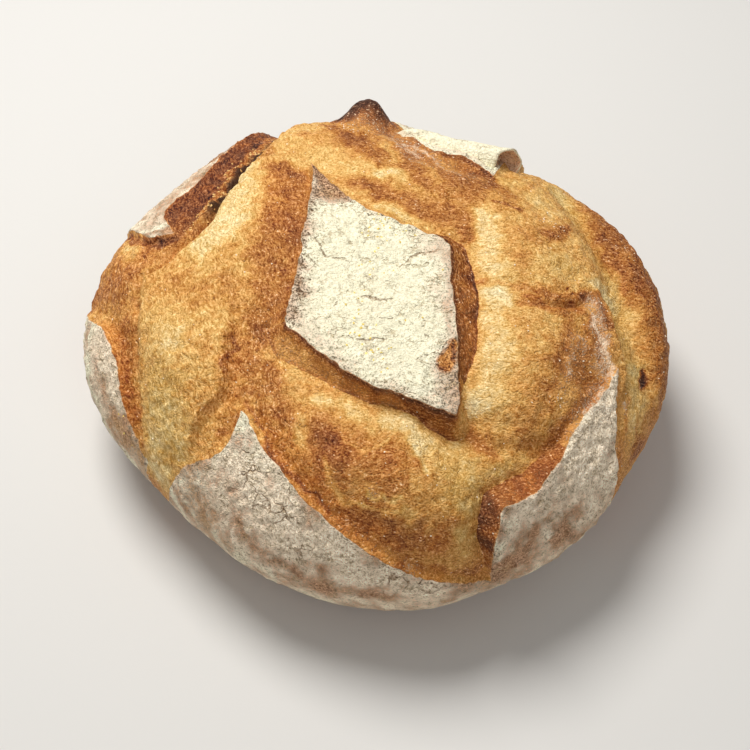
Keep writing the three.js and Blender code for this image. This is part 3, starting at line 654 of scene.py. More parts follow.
# Single cracks in the flour of the middle plate.
FLOUR_CRACKS = [
    [(-30, 12, 0.6), (-26.4, 7, 0.8), (-23.8, 3.1, 0.9), (-22.2, -1.7, 0.9), (-18, -2.6, 0.8),
     (-12.8, -3.4, 0.5)],
    [(-7, -22.6, 0.5), (-4.4, -23.2, 0.9), (0.8, -23.7, 0.9), (5.9, -22.9, 0.6)],
    [(8, -8, 0.6), (10.1, -6.5, 0.8), (14.4, -1.6, 0.9), (19.6, 0.1, 0.9), (28.6, 1, 0.6)],
    [(0.6, -33.9, 0.7), (5.6, -33.4, 0.6)], [(-35, -12.7, 0.9), (-30.8, -12.6, 0.8), (-27, -13.4, 0.5)],
    [(-4.4, 21.8, 0.6), (2.9, 20.6, 0.9), (5.4, 19, 0.6)], [(19.2, -41, 0.8), (20.2, -42.4, 0.7)],
    [(-18.4, -29.4, 0.6), (-16, -24, 0.6)], [(14, -53, 0.5), (22, -50, 0.7), (27, -44, 0.5)],
    [(-12, -42, 0.5), (-5, -44, 0.7), (4, -42, 0.5)], [(-30, 30, 0.6), (-24, 27, 0.7), (-18, 29, 0.5)],
]

# Where specks of bare brown skin show through the flour, beside a plate's edges.
PEPPERED = [
    (0.8, 3, [(-27, 40, 8), (-33, 20, 5), (-35, -10, 5), (-35, -34, 5)]), (0.9, 3, [(-24, 46, 10)]),
    (0.5, 3, [(-14, 30, 5)]), (0.5, 2, [(26, -48, 5), (26, -66, 8)]), (0.4, 2, [(6, -60, 6)]),
    (0.5, 2, [(-90, -108, 12), (-76, -130, 12), (-30, -150, 12)]),
    (0.4, 2, [(60, -130, 12), (96, -112, 14)]), (-0.4, 3, [(100, -60, 8), (90, -84, 9)]),
    (0.4, 2, [(-126, -70, 12)]), (-0.7, 3, [(-100, 40, 12), (-90, 80, 14), (-80, 110, 14)]),
]

# Flour that lies in clumps, and grains of semolina: how thick they lie.
FLOUR_CLUMPS = [
    (7.0, 2, [(73.9, -64.1, 1.9)]), (7.0, 2, [(72, 26, 1.2), (78, 24, 1.8)]),
    (7.0, 2, [(83, -6.1, 1.2)]), (3.5, 2, [(90.5, -27.3, 1.6), (95.2, -33.9, 2.2), (98.9, -47.4, 1.6)]),
    (4.0, 2, [(111.4, -55.4, 1.3)]), (4.0, 2, [(112, 24, 2)]), (6.0, 2, [(-12.2, 86.8, 1.2)]),
    (6.0, 2, [(-9.4, 95.6, 1.2)]), (5.0, 2, [(-16, 91, 1.2)]), (5.0, 2, [(5, 50, 1.6)]),
    (4.0, 2, [(14, 42, 1.3)]), (3.0, 2, [(59, -83, 1.5)]), (3.0, 2, [(30, -62, 1.0)]),
    (3.0, 2, [(-43, -52, 0.9)]),
]
SEMOLINA = [
    (0.5, 2, [(-124, -62, 9)]), (0.5, 2, [(0, 14, 6), (-4, -14, 7)]),
    (1.3, 2, [(-8, -28, 5), (-2, -42, 6), (0, -50, 5)]), (1.0, 2, [(10, 10, 3), (2, 20, 4)]),
    (0.06, 2, [(-2, -20, 26)]),
]

# Flour that is added to what lies everywhere: the same for the old skin and for the rest.
FLOUR = [
    # the middle plate
    (0.34, 3, [(-14, 20, 12), (-4, -10, 24), (6, -44, 18), (16, -62, 6)]),
    (-0.62, 3, [(-29, 52, 4), (-24, 46, 5), (-18, 38, 5)]), (-0.30, 3, [(-26, 34, 5), (-10, 31, 3)]),
    (-0.16, 2, [(-31, 20, 3), (-34, -16, 3), (-37, -32, 3)]),
    (-0.16, 2, [(31, -44, 2.5), (31, -70, 6)]), (-0.14, 2, [(29, -40, 1.5), (29, 0, 2)]),
    # the front plates
    (0.14, 3, [(-66, -92, 10), (-56, -104, 11)]), (0.12, 3, [(-58, -100, 5), (-50, -108, 4)]),
    (-0.26, 3, [(-95, -100, 9), (-87, -122, 11)]), (-0.22, 2, [(-62, -132, 12), (-34, -148, 10)]),
    (-0.2, 2, [(-75, -85, 4), (-88, -94, 6)]),
    (0.24, 2, [(-57, -74, 2), (-38, -98, 2.5), (-10, -122, 2.5), (20, -138, 2)]),
    (-0.34, 3, [(-30, -153, 6), (8, -156, 5)]), (0.10, 2, [(10, -143, 7), (28, -148, 7)]),
    (-0.30, 2, [(40, -150, 9), (66, -142, 10)]), (0.46, 2, [(98, -60, 8), (87, -82, 10)]),
    (-0.30, 2, [(66, -128, 12), (94, -116, 14)]), (-0.40, 3, [(60, -138, 8)]),
    (-0.12, 3, [(84, -120, 7)]), (0.14, 2, [(100, -100, 16)]), (0.24, 2, [(100, -56, 6)]),
    (0.14, 3, [(-44, -122, 14), (-10, -142, 12)]), (0.10, 3, [(-76, -104, 6)]),
    # the left plate
    (0.14, 2, [(-126, -14, 8), (-124, -38, 6)]), (-0.46, 2, [(-132, -56, 9), (-128, -78, 9)]),
    # the torn crust
    (0.20, 3, [(-38, -58, 3.5), (-24, -68, 2)]), (0.22, 2, [(-32, -80, 5)]), (0.16, 2, [(-50, -66, 8)]),
    (0.20, 2, [(-44, -20, 6), (-48, -42, 7)]), (0.52, 3, [(89, -14, 5), (93, -30, 5), (95, -46, 5)]),
    (0.30, 2, [(88, -20, 0.9), (93, -30, 1.3), (97, -38, 1.3), (99, -48, 0.9)]),
    (0.4, 2, [(111, -56, 2)]), (0.26, 2, [(84, -34, 1.0), (87, -46, 1.4), (84, -58, 1.0)]),
    (0.32, 3, [(82, -36, 6), (76, -58, 6)]), (0.26, 2, [(80, -40, 0.9), (77, -54, 1.0)]),
    (0.26, 3, [(92, -56, 5), (84, -66, 5)]), (0.36, 3, [(-12, 95, 5), (4, 91, 8), (14, 80, 8)]),
    (0.30, 2, [(-12, 88, 1), (0, 84, 1), (12, 74, 1), (20, 64, 0.8)]),
    (0.32, 3, [(18, 66, 10), (44, 53, 8)]),
    (0.30, 2, [(1, 76, 0.8), (11.3, 66.9, 0.8), (17.4, 60, 0.7), (26, 54, 0.6)]),
    (0.26, 2, [(20, 70, 0.8), (28, 62, 0.7), (36, 54, 0.6)]),
    (0.22, 2, [(6, 84, 0.8), (16, 74, 0.8), (24, 66, 0.6)]), (0.34, 2, [(111, 22, 4)]),
    (0.24, 2, [(112, -58, 4), (118, -72, 4)]), (0.34, 2, [(72, 25, 3)]), (0.18, 2, [(42, -82, 4)]),
    (0.34, 2, [(-3, -104, 3)]), (0.26, 4, [(58, 64, 5)]), (0.40, 2, [(6, 48, 2.5)]),
    # the ear's torn face, and bare places
    (-1.3, 4, [(-80, 84, 4), (-74, 98, 7), (-66, 122, 10)]), (-0.18, 3, [(-97, 44, 9), (-88, 64, 10)]),
    (-0.5, 3, [(-89, 26, 3), (-101, 26, 3)]), (-0.22, 2, [(-59, -77, 4)]), (0.2, 2, [(100, -77, 9)]),
]


def added(u, v, strokes):
    """All the strokes of a list together."""
    return sum(amount * stroke(u, v, line, crisp) for amount, crisp, line in strokes)


EAR_RIGHT = -46         # the ear and its crack lie left of this
LOW_WALL = 2.2          # a cut wall whose foot is less deep is no wall to look at
FAR_OFF = -9.0
MOST_STREWN = 8


def added_crumb(above_crack, u, v):
    """Where the ear tore last, along its crack, the crumb stands up in flakes."""
    lengthwise = smooth((v - 20) / 10) * smooth((92 - v) / 14) * (u < EAR_RIGHT)
    return np.exp(-((above_crack - 5.5) / 2.5) ** 2) * lengthwise


def ragged(u, v, size, reach, seed):
    """Places shifted so that a patch's edge is ragged."""
    return (u + reach * hills(u, v, size, seed, 3), v + reach * hills(u, v, size, seed + 7, 3))


def wall_depth(place):
    """How far inside a cut wall a place is, below zero outside it. Low walls don't count."""
    depth = np.full(place.u.shape, FAR_OFF)
    for name in ("centre", "front right"):
        away, values = place.edge[name]
        inside_it = np.minimum(away, values[..., 3] - away)
        counts = values[..., 4] > LOW_WALL
        depth = np.maximum(depth, np.where(counts, inside_it, np.minimum(inside_it, -0.5)))
    return depth


def on_torn_face(place):
    """1 on the ear's torn face, 0 off it."""
    lengthwise = smooth((place.v - 11) / 12) * smooth((place.u + 107) / 8) * (place.u < EAR_RIGHT)
    return smooth(0.5 + face_depth(place) / 1.5) * smooth(place.edge["ear"][0] + 0.5) * lengthwise


def low_side(place):
    """1 on the loaf's lower side, 0 above."""
    return smooth((np.hypot(place.u, place.v * 1.05) - 132) / 22)


def face_browning(place):
    """The torn face is dark but for a paler ragged fringe along the crack."""
    u, v = place.u, place.v
    ragged_edge = 6.0 + 3.0 * hills(u, v, 5, 55, 2)
    fringe = 1 - smooth((face_depth(place) - ragged_edge) / 2.5)
    return 0.85 - 0.06 * smooth((50 - v) / 26) - 0.20 * fringe + 0.10 * hills(u, v, 6.5, 53, 3)


def bare_browning_and_shadow(place, drawn):
    """Browning of the bare crust, 0 for straw yellow to 1 for nearly black, with some painted shadow
    beside the middle plate and under the roll.
    """
    u, v = place.u, place.v
    rim = smooth((np.hypot(u, v) - 98) / 12) * smooth((u - 60) / 20)
    bake = 0.40 + drawn + 0.06 * hills(u, v, 17, 51, 2) + 0.05 * hills(u, v, 2.2, 54, 2)
    bake = bake + 0.08 * (1 - 0.6 * rim) * hills(place.wu, place.wv, 5.5, 53, 3)
    bake = bake + low_side(place) * (0.08 + 0.15 * hills(u, v, 24, 56, 2))
    # on both sides of the bulge at the left
    past_ridge, past_crease = place.edge["bulge"][0], place.crease[1][0]
    bake = bake + 0.10 * smooth(0.5 + past_ridge) * np.exp(-np.maximum(past_ridge, 0) / 9)
    bake = bake + 0.12 * smooth(0.5 + past_crease) * np.exp(-np.maximum(past_crease, 0) / 16) * (u < -80)
    # darker beside the middle plate's left edge, partly browning and partly painted shadow of the plate's
    # lip; under the roll a thin line of painted shadow
    past_plate, past_roll = np.maximum(place.edge["centre"][0], 0), place.edge["back"][0]
    bake = bake + 0.16 * np.exp(-(past_plate / 3.5) ** 2) * smooth((-24 - u) / 6) * smooth((v + 36) / 6)
    painted_roll_shadow = np.exp(-((past_roll - 0.6) / 0.8) ** 2) * smooth((u - 12) / 8) * smooth((60 - u) / 8)
    return bake + 0.26 * painted_roll_shadow


def wall_browning_and_shade(place, drawn):
    """The cut walls' browning, with a dark line of painted shadow under the middle plate's lip and one of
    painted shade at their foot.
    """
    under_lip, values = place.edge["centre"]
    bake = 0.70 + drawn + 0.08 * hills(place.u, place.v, 5, 57, 2)
    # painted shadow: a dark line right under the lip
    bake = bake + 0.30 * np.exp(-(under_lip / 1.1) ** 2)
    # painted shade: a dark line in the crease at the wall's foot
    return bake + 0.14 * np.exp(-((under_lip - values[..., 3]) / 0.9) ** 2)


def skin_flour(place, drawn):
    """Flour on the old skin: nearly even on the middle plate, in patches on the outer ones."""
    u, v = place.u, place.v
    patchy = smooth((np.hypot(u, v) - 84) / 14)
    flour = 0.70 + (0.10 + 0.22 * patchy) * hills(u, v, 13, 81, 3) + 0.18 * patchy * hills(u, v, 5, 85, 2)
    return np.maximum(flour + drawn, 0.06) - 1.6 * stroke(place.wu, place.wv, RUBBED_OFF, 10)


def painted_cleft_shade(place):
    """Painted shade at the bottom of the ear's crack and along the two creases beside it: how dark it is.
    """
    away, values = place.crease[0]
    wavering = 0.8 * hills(place.u, place.v, 2.6, 73)
    shade = np.exp(-((away - 1.8 + wavering) / 2.1) ** 4) * smooth((values[..., 2] - 2.8) / 2.2)
    for away, values in place.crease[1:3]:
        line = np.exp(-(away / values[..., 3] * 1.6) ** 2)
        shade = shade + 0.3 * line * smooth((values[..., 2] - 0.6) / 2)
    return shade


def crust_look(place):
    """What the crust's finish reads: browning, flour and warmth of the old skin and of the rest.
    `skin` and `wall` are 0.5 on an edge, and an eighth more for each millimetre inside it."""
    u, v, low = place.u, place.v, place.below
    pu, pv = ragged(place.wu, place.wv, 11, 3.0, 41)
    skin, wall, on_face = smooth(0.5 + place.skin / 0.9), wall_depth(place), on_torn_face(place)
    dusted = added(pu, pv, FLOUR)
    bake = bare_browning_and_shadow(place, added(pu, pv, BROWNING_AND_SHADE)) * (1 - on_face) + face_browning(place) * on_face
    low_dust = low_side(place) * np.maximum(0.10 + 0.30 * hills(u, v, 15, 58, 3), 0)
    dust = (0.04 + np.maximum(dusted, 0) + low_dust) * (1 - on_face)
    right_wall = smooth(0.5 + wall) * smooth((u - 24) / 6) * smooth((v + 70) / 6)
    bits = (1 - skin) * (0.05 + 0.32 * np.clip(dusted, 0, 1)) * (1 - on_face) * (1 - smooth(low * 2))
    specks = 0.75 * np.exp(-np.maximum(place.skin, 0) / 4.5) + added(pu, pv, PEPPERED)
    cracks = [stroke(place.wu, place.wv, line) for line in FLOUR_CRACKS]
    fields = {
        "bake": bake * (1 - low) + 0.62 * low,
        "dust": dust * (1 - low) + 0.25 * low,
        "skin bake": 0.62 + 0.10 * hills(u, v, 9, 61, 3) + added(pu, pv, SKIN_BROWNING),
        "skin dust": skin_flour(place, dusted) * (1 - low) + 0.35 * low,
        "skin": 0.5 + place.skin / 8,
        "wall": 0.5 + wall / 8,
        "wall bake": wall_browning_and_shade(place, added(pu, pv, WALL_BROWNING)),
        "wall dust": 0.16 + added(pu, pv, WALL_FLOUR),
        "cleft": painted_cleft_shade(place),
        "lengthwise": 0.2 + 0.7 * smooth((-u - 5) / 45) + 0.8 * right_wall,
        "crackled": skin * added(u, v, CRACKLED) * (1 - low),
        "flour crack": skin * np.max(cracks, axis=0),
        "peppered": skin * specks * (1 - low),
        "strewn flour": bits + added(u, v, FLOUR_CLUMPS),
        "strewn semolina": skin * added(pu, pv, SEMOLINA),
        "strewn crumb": added_crumb(face_depth(place), u, v) * (1 - skin),
        "warmth": 0.5 + added(pu, pv, WARMTH) / 2 + 0.10 * hills(u, v, 15, 71, 2),
    }
    return {name: numbers.clip(0, MOST_STREWN if "strewn" in name else 1)
            for name, numbers in fields.items()}


look = crust_look(place)


def linear(red, green, blue):
    """A colour as a shader wants it, from the way it is seen, 0 to 255 each."""
    seen = [c / 255 for c in (red, green, blue)]
    return tuple(c / 12.92 if c <= 0.04 else ((c + 0.055) / 1.055) ** 2.4 for c in seen) + (1.0,)


class Wire:
    """One value between nodes, with the signs of arithmetic on it."""

    def __init__(self, nodes, socket):
        self.nodes, self.socket = nodes, socket

    def math(self, operation, *others):
        return self.nodes.node("ShaderNodeMath", {"operation": operation}, [self, *others])

    def __add__(self, other):
        return self.math("ADD", other)

    def __sub__(self, other):
        return self.math("SUBTRACT", other)

    def __rsub__(self, other):
        return self.nodes.node("ShaderNodeMath", {"operation": "SUBTRACT"}, [other, self])

    def __mul__(self, other):
        return self.math("MULTIPLY", other)

    __radd__, __rmul__ = __add__, __mul__

    def held(self):
        """Kept between 0 and 1."""
        return self.math("MAXIMUM", 0.0).math("MINIMUM", 1.0)

    def towards(self, other, share):
        """This value where the share is 0, the other where it is 1."""
        return self + (other - self) * share

    def eased(self, start, end):
        """From 0 to 1 as the value goes from start to end, level at both."""
        return self.nodes.node("ShaderNodeMapRange", {"interpolation_type": "SMOOTHSTEP"},
                               {"Value": self, "From Min": start, "From Max": end})


class Nodes:
    """A tree whose nodes are made one by one, each by its kind, its settings, of which `stops` are
    a ramp's, and its inputs by name or in order. `give` is the output that is wanted."""

    def __init__(self, tree):
        self.tree = tree

    def node(self, kind, settings=None, inputs=None, give=0):
        made = self.tree.nodes.new(kind)
        for name, value in (settings or {}).items():
            if name == "stops":
                ramp = made.color_ramp
                while len(ramp.elements) < len(value):
                    ramp.elements.new(1.0)
                for element, (position, colour) in zip(ramp.elements, value):
                    element.position = position
                    element.color = colour
            else:
                setattr(made, name, value)
        pairs = enumerate(inputs) if isinstance(inputs, list) else (inputs or {}).items()
        for key, value in pairs:
            socket = made.inputs[key] if isinstance(key, int) else next(
                s for s in made.inputs if key in (s.identifier, s.name) and s.enabled)
            if isinstance(value, Wire):
                self.tree.links.new(value.socket, socket)
            else:
                socket.default_value = value
        shown = [s for s in made.outputs if s.enabled] or [None]
        return Wire(self, made.outputs[give] if isinstance(give, str) else shown[give])

    def push(self, random_colour, reach):
        """A push by a random colour, up to half the reach each way."""
        push = self.node("ShaderNodeVectorMath", {"operation": "SUBTRACT"},
                         [random_colour, (0.5, 0.5, 0.5)])
        return self.node("ShaderNodeVectorMath", {"operation": "SCALE"}, {"Vector": push, "Scale": reach})


EYE_GAMMA = 2.2
DARKEST = 0.02


class Finish(Nodes):
    """A material, which ends in one Principled shader."""

    def __init__(self, name):
        self.material = bpy.data.materials.new(name)
        self.material.use_nodes = True
        super().__init__(self.material.node_tree)
        self.tree.nodes.clear()

    def read(self, name):
        """A value kept on the piece's corners."""
        return self.node("ShaderNodeAttribute", {"attribute_name": name}, give="Fac")

    def mix(self, share, a, b, blend="MIX"):
        return self.node("ShaderNodeMix", {"data_type": "RGBA", "blend_type": blend},
                         {"Factor_Float": share, "A_Color": a, "B_Color": b})

    def grain(self, at, size, detail=2.0, rough=0.5, twist=0.0):
        """Soft random grain of a size in millimetres, about -1 to 1."""
        value = self.node("ShaderNodeTexNoise", {"noise_dimensions": "3D"},
                          {"Vector": at, "Scale": 1 / (size * MM), "Detail": detail, "Roughness": rough,
                           "Distortion": twist})
        return (value - 0.5) * 4.0

    def stretched(self, at, scale, turn=0.0):
        """Places in which a grain is drawn out by `scale`, turned about the upright."""
        return self.node("ShaderNodeMapping", {"vector_type": "TEXTURE"},
                         {"Vector": at, "Rotation": (0, 0, math.radians(turn)), "Scale": scale})

    def shaken(self, at, size, reach):
        """Places shifted at random, in millimetres, by soft hills of a size."""
        hill = self.node("ShaderNodeTexNoise", {},
                         {"Vector": at, "Scale": 1 / (size * MM), "Detail": 1.0}, "Color")
        return self.node("ShaderNodeVectorMath", {"operation": "ADD"},
                         [at, self.push(hill, reach * 4 * MM)])

    def flecked(self, colour, amount):
        """A colour made lighter or darker as it is seen, by as much in red as in green and blue."""
        seen = self.node("ShaderNodeGamma", {}, {"Color": colour, "Gamma": 1 / EYE_GAMMA})
        fleck = self.node("ShaderNodeVectorMath", {"operation": "SCALE"},
                          {"Vector": (1, 1, 1), "Scale": amount})
        seen = self.node("ShaderNodeVectorMath", {"operation": "ADD"}, [seen, fleck])
        seen = self.node("ShaderNodeVectorMath", {"operation": "MAXIMUM"}, [seen, (DARKEST,) * 3])
        return self.node("ShaderNodeGamma", {}, {"Color": seen, "Gamma": EYE_GAMMA})

    def finished(self, **inputs):
        """The surface itself, from what its Principled shader is given."""
        shader = self.node("ShaderNodeBsdfPrincipled", {}, inputs)
        self.node("ShaderNodeOutputMaterial", {}, {"Surface": shader})
        return self.material


# From straw yellow to nearly black.
BAKE_COLOURS = [
    (0.00, linear(250, 230, 180)), (0.15, linear(246, 216, 154)), (0.30, linear(235, 188, 110)),
    (0.45, linear(218, 157, 80)), (0.60, linear(190, 123, 56)), (0.75, linear(154, 90, 38)),
    (0.88, linear(114, 63, 30)), (1.00, linear(76, 42, 24)),
]
OLIVE, ORANGE = linear(212, 196, 128), linear(255, 214, 160)       # what tints the browning
FLOURY_SKIN = linear(188, 152, 120)     # old skin with flour baked into it
DUST_AND_GLINT = linear(246, 208, 162)         # light flecks on the bare crust: partly flecks of dust, partly painted highlight for glints on its grain
THICK_FLOUR, THICKEST_FLOUR = linear(243, 226, 200), linear(253, 246, 215)
WARM_FLOUR = linear(253, 232, 203)
THIN_FLOUR, WALL_DUST = linear(255, 220, 184), linear(230, 184, 138)
# the beige in the flour's creases is partly painted shade
FLOUR_CREASE, CRACK_BOTTOM = linear(196, 168, 122), linear(146, 110, 74)
PIT, WARM_PIT = linear(112, 80, 56), linear(136, 98, 68)
# painted shade for the bottom of the clefts
PAINTED_CLEFT_SHADE = linear(48, 28, 18)
CRACKLE_CELLS = 150.0                   # to the metre
FINE_RELIEF = 0.8 * MM


def crust_finish():
    """One finish for old skin, torn crust and cut walls: the values on the corners say which."""
    f = Finish("crust")
    at = f.node("ShaderNodeTexCoord", {}, give="Object")

    # which it is, how brown and how floured, and whether it leans to orange or to olive
    old_skin = f.read("skin").eased(0.47, 0.53)
    wall = f.read("wall").eased(0.46, 0.54) * (1 - old_skin)
    bake = f.read("bake").towards(f.read("wall bake"), wall).towards(f.read("skin bake"), old_skin)
    flour = f.read("dust").towards(f.read("wall dust"), wall).towards(f.read("skin dust"), old_skin)
    warmth = f.read("warmth") * 2.0 - 1.0
    warm, cool = warmth.held(), (warmth * -1.0).held()

    # the grain: specks, and fibres combed across the loaf or along it; mealy on the old skin
    speck = f.grain(at, 0.75, 1.0)
    grain = f.grain(at, 1.5, 2.0, 0.65, 0.5)
    blotch = f.grain(at, 4.0, 2.0)
    combed = f.shaken(at, 5, 1.2)
    across = f.grain(f.stretched(combed, (3.0, 1.0, 1.0), -9), 0.80, 2.0, 0.6)
    along = f.grain(f.stretched(combed, (1.0, 3.2, 2.6), 16), 0.80, 2.0, 0.6)
    fibre = across.towards(along, f.read("lengthwise"))
    threads = 1 - f.grain(at, 2.2, 2.0, 0.5, 1.6).math("ABSOLUTE") * 2.2
    torn = speck * 0.18 + grain * 0.12 + fibre * 0.46 + (threads - 0.2) * -0.05
    mealy = speck * 0.30 + grain * 0.34 + fibre * 0.08 + blotch * 0.12
    texture = torn.towards(mealy, old_skin)

    # the browning
    tone = bake + texture * 0.12 + blotch * 0.03
    colour = f.node("ShaderNodeValToRGB", {"stops": BAKE_COLOURS}, {"Fac": tone.held()})
    colour = f.mix(cool * 0.55, colour, OLIVE, "MULTIPLY")
    colour = f.mix(warm * 0.45, colour, ORANGE, "MULTIPLY")
    colour = f.mix(old_skin * flour.eased(0.0, 0.05) * 0.72, colour, FLOURY_SKIN)

    # light flecks on the bare crust, partly dust and partly painted highlight for glints on its rough
    # grain; more where there is dust, none on the ear's torn face
    dust = f.read("dust")
    dust_and_glint_flecks = dust.eased(0.0, 0.12) * 0.15 + dust.eased(0.0, 0.03) * 0.3 - 0.45
    dust_and_glint_flecks = (dust_and_glint_flecks + speck * -0.5 - grain * 0.3 - fibre * 0.6).eased(0.36, 0.90)
    colour = f.mix(dust_and_glint_flecks * (1 - old_skin) * tone.eased(0.3, 0.6) * 0.50, colour, DUST_AND_GLINT)

    # the flour: a thick coat on the old skin, thin dust elsewhere
    coat = (flour + speck * 0.20 + grain * 0.14 + blotch * 0.05).eased(0.28, 0.80)
    dusting = (flour + speck * 0.22 + grain * 0.20 + fibre * 0.34 + blotch * 0.05).eased(0.40, 0.84)
    cover = dusting.towards(coat, old_skin)
    thick = f.mix(flour.eased(0.56, 0.84), THICK_FLOUR, THICKEST_FLOUR)
    thick = f.mix(warm * 0.9, thick, WARM_FLOUR)
    thin = f.mix(wall, THIN_FLOUR, WALL_DUST)
    colour = f.mix(cover, colour, f.mix(old_skin, thin, thick))

    # creases between the flour's dried curds, their beige partly painted shade, and its cracks
    curd = f.grain(f.stretched(at, (1.35, 1.0, 1.0), -6), 5.0, 3.0, 0.6).math("ABSOLUTE")
    crease = (1 - curd.eased(0.02, 0.16)) * f.grain(at, 6, 2.0).eased(-0.3, 0.7) * old_skin
    cells = f.node("ShaderNodeTexVoronoi", {"feature": "DISTANCE_TO_EDGE"},
                   {"Vector": f.shaken(at, 4, 1.1), "Scale": CRACKLE_CELLS})
    crackled = f.read("crackled") * f.grain(at, 9, 2.0).eased(-0.5, 0.5)
    crack = (1 - cells.eased(0.0, 0.08)) * crackled * 1.3
    crack = crack + (f.read("flour crack") + grain * 0.10 + speck * 0.08).eased(0.55, 0.95)
    colour = f.mix(crease * 0.55, colour, FLOUR_CREASE)
    colour = f.mix(crack.held() * 0.70, colour, CRACK_BOTTOM)

    # pits in the flour, and where it is peppered the brown skin in them
    peppered = f.read("peppered") * old_skin
    pits = (speck * 0.55 + grain * 0.55 + peppered * 0.75).eased(0.50, 1.10) * old_skin
    deep = pits * (peppered * 0.60 + 0.10) * (1 - warm * 0.4)
    colour = f.mix(deep, colour, f.mix(warm, PIT, WARM_PIT))

    # light and dark flecks, and painted shade at the bottom of the clefts
    whitest = flour.eased(0.70, 1.00) * old_skin * (1 - warm)
    colour = f.flecked(colour, texture * (whitest * 0.26 - 0.38 - tone.eased(0.44, 0.74) * 0.14))
    colour = f.mix(f.read("cleft") * 0.92, colour, PAINTED_CLEFT_SHADE)

    # the fine relief
    height = grain * 0.20 + fibre * 0.20 + speck * 0.08 + threads * 0.12 + blotch * 0.15 + cover * 0.12
    height = height - crack * 0.6 - crease * 0.5 - pits * 0.3
    bump = f.node("ShaderNodeBump", {}, {"Height": height, "Distance": FINE_RELIEF, "Strength": 1.0})
    return f.finished(**{"Base Color": colour, "Roughness": 0.60 + cover * 0.30, "Normal": bump,
                         "Specular IOR Level": 0.3})


def made_piece(name, corners, faces, values, material):
    """A piece from its corners in millimetres, with the values that its finish reads."""
    mesh = bpy.data.meshes.new(name)
    mesh.from_pydata((corners * MM).tolist(), [], faces)
    mesh.update()
    for value, numbers in values.items():
        kept = mesh.attributes.new(value, "FLOAT", "POINT")
        kept.data.foreach_set("value", np.asarray(numbers, np.float32))
    mesh.polygons.foreach_set("use_smooth", np.ones(len(mesh.polygons), bool))
    mesh.materials.append(material)
    piece = bpy.data.objects.new(name, mesh)
    bpy.context.scene.collection.objects.link(piece)
    return piece


# The base is an even brown from the oven's floor. What isn't named is 0.
base_look = {"bake": 0.66, "dust": 0.3, "skin bake": 0.66, "skin dust": 0.3, "wall bake": 0.6,
             "lengthwise": 0.5, "warmth": 0.5}
values = {name: np.concatenate([numbers, np.full(base_corners, base_look.get(name, 0.0))])
          for name, numbers in look.items()}
crust = made_piece("crust", body, faces, values, crust_finish())
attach(crust, "root")
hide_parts("loaf")

# --- The rolled lip ---------------------------------------------------------------------------
# A strip of old floured skin that peeled back behind the top and rolled up as it dried. It is
# part of the crust, hollow at its open end, and lies along the edge that it tore from.

# Its middle line on the crust, u, v and lift, and how thick it is there.
ROLL_PATH = [(10, 95, -0.5), (22, 88, 0), (36, 81, -0.7), (50, 75, -0.2), (62, 69.5, 2.2)]
ROLL_RADIUS = [3.0, 4.4, 5.0, 5.9, 6.9]
ROLL_WALL = 1.2
ROLL_DEPTH = 11.0       # how far in its mouth is hollow
ROLL_SLANT = 16.0       # the last part of it, which slants more and more towards the mouth


def on_crust(u, v, lift):
    """Points on the finished crust, in millimetres, lifted off it along its normal."""
    normal = dome_normal(u, v)
    return fitted(dome(u, v) + normal * (relief(Skin(u, v)) + lift)[:, None]), normal


